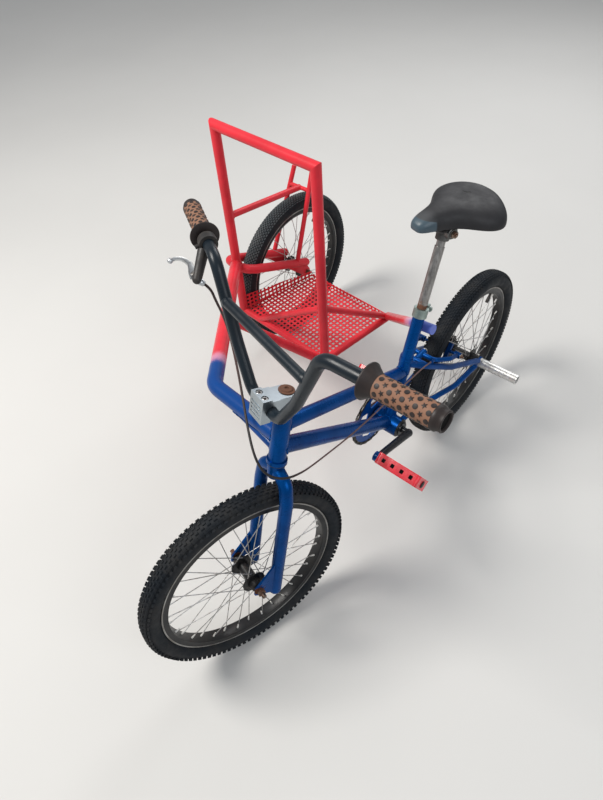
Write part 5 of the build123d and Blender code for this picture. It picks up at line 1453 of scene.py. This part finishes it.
@dataclass
class Welds(Assembly):
    """The beads where tubes are welded to one another."""

    bead: float = 2.6
    step: float = 3.3
    uneven: tuple[float, float] = (0.8, 1.12)
    first_seed: int = 7
    crossbar_end: Triple = (120.0, -737.8, 851.0)
    crossbar_lean: float = 0.16

    def part(self) -> bpy.types.Object:
        """One ripple of a bead."""
        levels = ((-0.62, 0.42), (-0.34, 0.86), (0.0, 1.0), (0.34, 0.86), (0.62, 0.42))
        verts = [(x, y, level * self.bead) for level, r in levels for x, y in circle(8, r * self.bead)]
        return self.repeater.part("weld_ripple", verts, skin(len(levels), 8))

    def lines(self) -> tuple[tuple[str, str, list[tuple[Vector, Vector, float, Vector, Vector, float]]], ...]:
        """The seams of the bicycle and of the sidecar, as the arguments of their meeting lines."""
        top_front, top_rear = on_head(412.0), BB + SEAT_DIR * 152.0
        down_front = on_head(360.0)
        top_half, down_half = (top_front + top_rear) / 2, (down_front + BB) / 2
        root = on_head(379.7, -3.35)
        bend, end = root + Vector((-215.0, 24.0, -18.0)), Vector((-662.0, -238.0, 424.0))
        gusset, gusset_end = on_head(346.6, -0.8), root + Vector((-150.0, 11.0, -15.0))
        strut_top = bend + (end - bend) * 0.4676
        inner, inner_foot = Vector((-304.0, -258.0, 246.0)), Vector((-308.0, -266.0, 247.0))
        joint = inner + UP * 197.0
        corner, foot = Vector((-268.0, 7.0, 251.0)), Vector((-590.0, -240.5, 245.0))
        outer, lean = Vector((-663.0, -236.0, 243.0)), Vector((8.0, 0.0, 604.0))
        brace = outer + lean * (345.0 / 604.0)
        middle = Vector((-668.6, 78.2, 530.0))
        blue = [
            (top_half, top_front - top_rear, TOP_R, STEER_FOOT, HEAD_DIR, HEAD_R),
            (top_half, top_rear - top_front, TOP_R, BB, SEAT_DIR, SEAT_R),
            (down_half, down_front - BB, DOWN_R, STEER_FOOT, HEAD_DIR, HEAD_R),
            (down_half, BB - down_front, DOWN_R, BB, LEFT, SHELL_R),
            (BB + SEAT_DIR * 80.0, -SEAT_DIR, SEAT_FOOT_R, BB, LEFT, SHELL_R),
            (bend, root - bend, ARM_R, STEER_FOOT, HEAD_DIR, HEAD_R),
            (gusset_end, gusset - gusset_end, GUSSET_R, STEER_FOOT, HEAD_DIR, HEAD_R),
            (gusset, gusset_end - gusset, GUSSET_R, root, bend - root, ARM_R),
        ]
        red = [
            (inner_foot, strut_top - inner_foot, STRUT_R, bend, end - bend, ARM_R),
            (strut_top, inner_foot - strut_top, STRUT_R, inner, UP, HOOP_R),
            (foot, joint - foot, BRACE_R, inner, UP, HOOP_R),
            (corner, joint - corner, BRACE_R, inner, UP, HOOP_R),
            (middle, brace - middle, BRACE_R, outer, lean, HOOP_R),
            (bend, end - bend, ARM_R, outer, lean, HOOP_R),
        ]
        return ("frame_weld_beads", "frame_blue", blue), ("sidecar_weld_beads", "sidecar_red", red)

    def fillets(self) -> None:
        """The filled joints at both ends of the handlebar's crossbar."""
        outline = [(-4.0, 0.0), (-4.0, 9.3), (-2.0, 9.7), (1.5, 9.9), (5.0, 9.7), (8.5, 9.0), (11.5, 7.6)]
        outline += [(13.0, 5.0), (13.5, 0.0)]
        ends = []
        for side in SIDES:
            at = Vector((side * self.crossbar_end[0], *self.crossbar_end[1:]))
            place = frame_on(BAR_TURN @ at, BAR_AIM @ Vector((side, self.crossbar_lean, 0.0)))
            ends.append(self.turned("fillet", outline, place, 32, "black_paint"))
        fit(joined("crossbar_fillets", ends), Body.STEERING, "black_paint")

    def build(self) -> None:
        """Builds the beads of both frames and the handlebar's fillets."""
        part = self.part()
        self.fillets()
        for name, finish, seams in self.lines():
            beads = []
            for i, seam in enumerate(seams):
                ripples = (self.step, self.uneven, self.first_seed + i, self.finishes[finish])
                beads.append(self.repeater.along_line(f"{name}_{i}", part, meeting_line(*seam), *ripples))
            fit(joined(name, beads), Body.FRAME, finish)
        bpy.data.objects.remove(part)


@dataclass
class Hardware(Assembly):
    """Nuts, washers, sockets, cups and ferrules that the solids leave out."""

    stem_cap_up: float = 496.6
    stem_cap_ahead: float = 52.0
    plate_up: float = 492.0
    crank: float = 145.0
    pedal_out: float = 188.0
    pedal_length: float = 112.0
    pedal_depth: float = 85.0
    pedal_tilt: float = math.radians(121.0)
    adjuster: tuple[Triple, Triple] = ((-199.5, -706.5, 864.0), (-192.75, -699.0, 852.9))
    lever_pivot: Triple = (-208.8, -705.9, 866.0)
    saddle_bolt: Triple = (0.0, -206.25, 779.0)
    post_top: Triple = (0.0, -206.25, 761.3)
    caliper_pivot: Triple = (0.0, -224.0, 434.0)
    shoe: Triple = (62.6, -145.0, 391.0)
    pieces: dict[Body, list[bpy.types.Object]] = field(default_factory=dict)

    def knob(self, body: Body, profile: Profile, at: Vector, ahead: Vector, around: int, finish: str) -> None:
        """Turns a small piece and holds it until its body's pieces are joined.

        Args:
            body: The body it rides on.
            profile: Points of (along, radius) round its section.
            at: Where it sits.
            ahead: Its axis's direction.
            around: How many faces go round.
            finish: Its finish's name.
        """
        self.pieces.setdefault(body, []).append(self.turned("knob", profile, frame_on(at, ahead), around, finish))

    def washer(
        self, body: Body, at: Vector, ahead: Vector, inner: float, outer: float, thick: float, finish: str
    ) -> None:
        """A flat ring with eased edges."""
        ease = min(0.4, thick / 3)
        outline = [(0, inner), (0, outer - ease), (ease, outer)]
        outline += [(thick - ease, outer), (thick, outer - ease), (thick, inner)]
        self.knob(body, outline, at, ahead, 32, finish)

    def nut(self, body: Body, at: Vector, ahead: Vector, radius: float, high: float, finish: str) -> None:
        """A hexagon with chamfered corners and the stub of its thread."""
        outline = [(0, 0), (0, radius * 0.97), (high * 0.12, radius), (high * 0.82, radius)]
        outline += [(high, radius * 0.9), (high, 0)]
        self.knob(body, outline, at, ahead, 6, finish)
        low, thread = high * 0.9, radius * 0.46
        stub = [(low, 0.0), (low, thread), (high + 2.2, thread), (high + 2.9, radius * 0.36), (high + 2.9, 0.0)]
        self.knob(body, stub, at, ahead, 20, finish)

    def stem(self) -> None:
        """The sockets of the cap's two bolts with their dark shims."""
        up = BAR_AIM @ HEAD_DIR
        for x in (-10.0, 10.0):
            at = BAR_TURN @ on_head(self.stem_cap_up - 2.4, self.stem_cap_ahead, x)
            self.washer(Body.STEERING, at, up, 3.4, 5.0, 1.3, "bolt_steel")
            self.washer(Body.STEERING, at - up, up, 5.0, 7.2, 1.7, "grip_dark")
            self.knob(Body.STEERING, [(0, 0), (0.1, 3.5), (1.1, 3.5), (1.15, 3.2), (0.5, 0.0)], at, up, 6, "grip_dark")

    def quill(self) -> None:
        """The quill's wide rusted washer and its low socket bolt."""
        outline = [
            (0, 0.0), (0, 15.2), (0.8, 15.6), (1.6, 15.2), (2.0, 13.4), (2.0, 11.0), (2.8, 10.8), (4.0, 10.0),
            (4.6, 8.6), (4.7, 4.4), (2.2, 4.0), (2.2, 0.0),
        ]
        bolt = self.turned("quill_bolt", outline, frame_on(on_head(self.plate_up), HEAD_DIR), 40, "quill_rust")
        fit(bolt, Body.STEERING, "rusty_steel", "stem_bolt")

    def blade(self) -> None:
        """The lever's broad blade, narrowing to a ball end."""
        stations = (
            # point in the bar's axes, how broad, how deep
            ((-193.0, -761.2, 877.7), 14.0, 8.6), ((-204.0, -758.0, 878.2), 14.5, 9.0),
            ((-216.0, -753.4, 878.8), 13.0, 8.6), ((-231.0, -749.4, 879.8), 10.0, 8.0),
            ((-247.0, -751.3, 880.7), 8.2, 7.2), ((-258.0, -756.6, 881.4), 7.0, 6.4),
            ((-264.0, -765.0, 881.9), 6.4, 6.0), ((-263.4, -774.0, 881.9), 6.0, 5.8),
        )
        spots = [Vector(spot) for spot, _, _ in stations]
        around, ball_r = 12, 5.4
        verts: list[Vector] = []
        for i, (_, broad, deep) in enumerate(stations):
            run = spots[min(i + 1, len(spots) - 1)] - spots[max(i - 1, 0)]
            across = run.normalized().cross(UP).normalized()
            for c, s in circle(around, phase=0.5):
                x, z = (math.copysign(abs(part) ** 0.5, part) for part in (c, s))
                dish = 0.32 if z > 0 and abs(x) < 0.8 else 0.0
                verts.append(BAR_TURN @ (spots[i] + across * (x * broad / 2) + UP * ((z - dish) * deep / 2)))
        strip = dress(mesh_piece("blade_strip", verts, skin(len(spots), around)), self.finishes["lever_alloy"])
        ball = [(ball_r * -math.cos(math.pi * k / 10), ball_r * math.sin(math.pi * k / 10)) for k in range(11)]
        end = self.turned("blade_ball", ball, frame_on(BAR_TURN @ spots[-1], BAR_AIM @ UP), 20, "lever_alloy")
        fit(joined("brake_blade_channel", [strip, end]), Body.STEERING, "lever_alloy", "brake_blade")

    def lever(self) -> None:
        """The lever's knurled adjuster and its pivot."""
        start, end = (Vector(p) for p in self.adjuster)
        run = (end - start).normalized()
        barrel = [(0, 4.0), (0, 5.9), (1.0, 6.6), (4.4, 6.6), (5.2, 5.5), (8.6, 5.5), (9.2, 4.9), (9.8, 4.2)]
        barrel.append((9.8, 3.0))
        self.knob(Body.STEERING, barrel, end - run * 9.4, run, 18, "lever_alloy")
        pivot, up = Vector(self.lever_pivot), BAR_AIM @ HEAD_DIR
        self.nut(Body.STEERING, pivot + up * 5.6, up, 4.2, 2.6, "bolt_steel")
        self.washer(Body.STEERING, pivot + up * 4.6, up, 1.0, 5.4, 1.2, "bolt_steel")

    def shell(self) -> None:
        """The cups in the bottom bracket and the head set's thin races."""
        cup = [(0, 18.6), (0, 25.0), (1.6, 25.0), (2.6, 23.6), (4.2, 22.2), (5.4, 20.6), (5.4, 18.6)]
        race = [(0, 14.0), (0, 20.8), (0.9, 21.3), (2.0, 20.4), (2.6, 18.4), (2.6, 14.0)]
        for side in SIDES:
            self.knob(Body.FRAME, cup, BB + LEFT * side * 35.0, LEFT * side, 48, "brake_steel")
        for up, flip in ((322.0, -1.0), (450.0, 1.0)):
            self.knob(Body.FRAME, race, on_head(up), HEAD_DIR * flip, 48, "brake_steel")

    def seat(self) -> None:
        """The cradle that holds the saddle, with its nuts and toothed washers."""
        left = Vector((math.cos(SADDLE_YAW), -math.sin(SADDLE_YAW), 0.0))
        middle = Vector(self.saddle_bolt)
        self.cradle(middle, left)
        for out in (left * side for side in SIDES):
            self.washer(Body.FRAME, middle + out * 28.0, out, 4.0, 11.0, 1.8, "cradle_grey")
            self.nut(Body.FRAME, middle + out * 29.8, out, 8.2, 6.5, "rusty_steel")

    def cradle(self, middle: Vector, left: Vector) -> None:
        """The cradle on the seat post's top: its collar, cross bolt, cheeks and both rails."""
        back = Vector((-left.y, left.x, 0.0))
        top = Vector(self.post_top)
        collar = [(0, 11.3), (0, 14.2), (1.5, 15.4), (20, 15.8), (24, 14.5), (25, 11.3)]
        bolt = [(-28, 0.0), (-28, 4.4), (28, 4.4), (28, 0.0)]
        cheek = [(0, 0.0), (0, 12.2), (1.2, 13.6), (7, 13.9), (12.6, 13.4), (13.8, 12.0), (13.8, 0.0)]
        rail = ((-46.0, 16.0), (-34.0, 7.0), (-26.0, 1.5), (-18.0, 0.0), (34.0, 0.0), (42.0, 2.0), (56.0, 15.0))
        pieces = [
            self.turned("collar", collar, frame_on(top - SEAT_DIR * 9.0, SEAT_DIR), 40, "cradle_grey"),
            self.turned("cross_bolt", bolt, frame_on(middle, left), 20, "rusty_steel"),
        ]
        for out in (left * side for side in SIDES):
            pieces.append(self.turned("cheek", cheek, frame_on(middle + out * 14.0, out), 36, "cradle_grey"))
            level = middle + UP * 8.3 + out * 20.0
            verts, faces = tube_mesh([level + back * behind + UP * high for behind, high in rail], 3.4, 14)
            pieces.append(dress(mesh_piece("rail", verts, faces), self.finishes["lever_black"]))
        fit(joined("saddle_cradle", pieces), Body.FRAME, "rusty_steel", "saddle_clamp")

    def brake(self) -> None:
        """The caliper's pivot nut and the nuts of both shoes."""
        pivot = Vector(self.caliper_pivot)
        self.washer(Body.FRAME, pivot, BACK, 3.0, 9.0, 1.4, "bolt_steel")
        self.nut(Body.FRAME, pivot + BACK * 1.4, BACK, 6.2, 5.0, "bolt_steel")
        for side in SIDES:
            shoe, out = Vector((side * self.shoe[0], *self.shoe[1:])), LEFT * side
            self.washer(Body.FRAME, shoe, out, 2.0, 7.4, 1.2, "bolt_steel")
            self.nut(Body.FRAME, shoe + out * 1.2, out, 5.4, 4.2, "rusty_steel")

    def filler(self, body: Body, at: Vector, out: Vector, rise: Vector, half: Triple, finish: str) -> None:
        """The red web beside one of the small windows in a pedal's edge, or a near-black block in the window as its
        painted shade.
        """
        side = out.cross(rise)
        steps = ((x, y, z) for x in (-1, 1) for y in (-1, 1) for z in (-1, 1))
        corners = [at + side * (x * half[0]) + out * (y * half[1]) + rise * (z * half[2]) for x, y, z in steps]
        faces = [(0, 1, 3, 2), (4, 5, 7, 6), (0, 1, 5, 4), (2, 3, 7, 6), (0, 2, 6, 4), (1, 3, 7, 5)]
        self.pieces.setdefault(body, []).append(
            dress(mesh_piece("edge_web", corners, faces, Smooth.FLAT), self.finishes[finish])
        )

    def pedals(self) -> None:
        """The webs in the pedals' edges and the dust caps on their ends."""
        depth = Vector((0.0, math.cos(self.pedal_tilt), math.sin(self.pedal_tilt)))
        face, edge, step = LEFT.cross(depth), self.pedal_depth / 2 - 1.6, self.pedal_length / 4.6
        cap = [(0, 0.0), (0, 9.0), (1.4, 9.0), (2.8, 7.6), (3.4, 4.0), (3.5, 0.0)]
        for side, body, turn in ((1.0, Body.PEDAL_LEFT, 161.0), (-1.0, Body.PEDAL_RIGHT, 341.0)):
            a = math.radians(turn)
            centre = BB + Vector((side * self.pedal_out, self.crank * math.cos(a), self.crank * math.sin(a)))
            middle = centre - LEFT * side * self.pedal_length / 2
            for i, end, level in ((i, end, level) for i in range(4) for end in (-1, 1) for level in (-1, 1)):
                window = middle + LEFT * (i - 1.5) * step + depth * end * edge
                self.filler(body, window + face * level * 9.2, depth * end, face, (4.6, 1.6, 4.6), "pedal_red")
                # a near-black block inside each window: painted shade for its depth
                if level > 0:
                    self.filler(body, window + depth * end * 1.3, depth * end, face, (4.2, 0.6, 4.5), "deep_dark")
            self.knob(body, cap, centre - LEFT * side * 0.4, LEFT * side, 32, "grip_dark")

    def build(self) -> None:
        """Builds the small pieces, joined for each body."""
        for make in (self.stem, self.quill, self.blade, self.lever, self.shell, self.seat, self.brake, self.pedals):
            make()
        slots = {Body.STEERING: "stem_silver", Body.FRAME: "brake_steel"}
        for body, pieces in self.pieces.items():
            fit(joined(f"{body.value}_hardware", pieces), body, slots.get(body, "pedal_red"))


@dataclass
class Studio:
    """The floor, the soft lights and the camera at the photograph's place."""

    camera_at: Triple = (529.0, -1205.0, 1500.0)
    sensor: float = 36.0
    far: float = 60.0
    azimuth: float = math.radians(44.992)
    elevation: float = math.radians(48.49)
    roll: float = math.radians(-5.438)
    lens: float = 26.92
    aim: Triple = (0.0, 0.0, 0.35)
    sky: tuple[float, float, float, float] = (0.93, 0.96, 1.0, 1.0)
    sky_strength: float = 0.44
    lamps: tuple[tuple[str, Triple, float, float, Triple], ...] = (
        # name, place, size in metres, power in watts, colour
        ("key", (-1.6, -1.6, 3.6), 1.6, 150.0, (1.0, 0.97, 0.92)),
        ("fill", (3.0, -0.6, 2.4), 2.4, 38.0, (0.92, 0.96, 1.0)),
        ("rim", (-0.6, 3.0, 2.6), 2.0, 40.0, (1.0, 1.0, 1.0)),
    )
    floor_size: float = 14.0
    floor_colour: Triple = (0.60, 0.592, 0.575)

    def camera(self) -> None:
        """Sets the camera where the photograph was taken."""
        az, el = self.azimuth, self.elevation
        back = Vector((math.sin(az) * math.cos(el), -math.cos(az) * math.cos(el), math.sin(el)))
        level = Vector((math.cos(az), math.sin(az), 0.0))
        rise = back.cross(level)
        right = level * math.cos(self.roll) + rise * math.sin(self.roll)
        up = rise * math.cos(self.roll) - level * math.sin(self.roll)
        data = bpy.data.cameras.new("camera")
        data.sensor_width = self.sensor
        data.lens = self.lens
        data.clip_end = self.far
        camera = linked("camera", data)
        camera.matrix_world = Matrix.Translation(row(self.camera_at)) @ Matrix((right, up, back)).transposed().to_4x4()
        bpy.context.scene.camera = camera

    def lamp(self, name: str, at: Triple, size: float, power: float, colour: Triple) -> None:
        """One soft lamp aimed at the bicycle's middle."""
        data = bpy.data.lights.new(name, "AREA")
        data.shape = "DISK"
        data.size = size
        data.energy = power
        data.color = colour
        lamp = linked(name, data)
        lamp.location = at
        lamp.rotation_euler = (Vector(self.aim) - Vector(at)).to_track_quat("-Z", "Y").to_euler()

    def light(self) -> None:
        """A broad sky light, a soft key, a fill and a rim light."""
        world = bpy.data.worlds.new("studio")
        world.use_nodes = True
        sky = world.node_tree.nodes["Background"]
        sky.inputs["Color"].default_value = self.sky
        sky.inputs["Strength"].default_value = self.sky_strength
        bpy.context.scene.world = world
        for lamp in self.lamps:
            self.lamp(*lamp)
        bpy.context.scene.view_settings.view_transform = "Standard"

    def floor(self) -> None:
        """A plain pale floor under the tyres."""
        half = self.floor_size / 2
        mesh = bpy.data.meshes.new("floor")
        corners = [(x * half, y * half, 0.0) for x, y in ((-1, -1), (1, -1), (1, 1), (-1, 1))]
        mesh.from_pydata(corners, [], [(0, 1, 2, 3)])
        s = Shader("floor_pale")
        pale = tuple(c * 0.97 for c in self.floor_colour)
        s.feed(Base_Color=s.mix(s.span(s.noise(1.2, 3.0, 0.5), 0.3, 0.7), self.floor_colour, pale), Roughness=0.85)
        mesh.materials.append(s.material)
        linked("floor", mesh)


def main() -> None:
    """Builds the looks in order."""
    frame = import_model()
    finishes = {name: recipe.make(name) for name, recipe in RECIPES.items()}
    for finish, nodes in SHOWN_AS.items():
        for node in nodes.split():
            dress(frame["nodes"][node], finishes[finish])
    kit = (finishes, Repeater())
    BrakeCable(*kit).build()
    Wheel(*kit, "front", Body.FRONT_WHEEL, FRONT_AXLE, FRONT_AXLE_X, KNOBS, 22.8, 196.0, 213.0).build()
    Wheel(*kit, "rear", Body.REAR_WHEEL, REAR_AXLE, LEFT, SCALES, 24.8, 190.0, 210.3).build()
    Wheel(*kit, "side", Body.SIDE_WHEEL, SIDE_AXLE, LEFT, DUSTY_HIGHLIT_SCALES, 24.8, 190.0, 210.3).build()
    for assembly in (Grips, Saddle, Pan, Chain, Welds, Hardware):
        assembly(*kit).build()
    studio = Studio()
    studio.camera()
    studio.light()
    studio.floor()
    LOG.info("studio set")


if __name__ == "__main__":
    logging.basicConfig(level=logging.INFO, format="%(message)s")
    main()
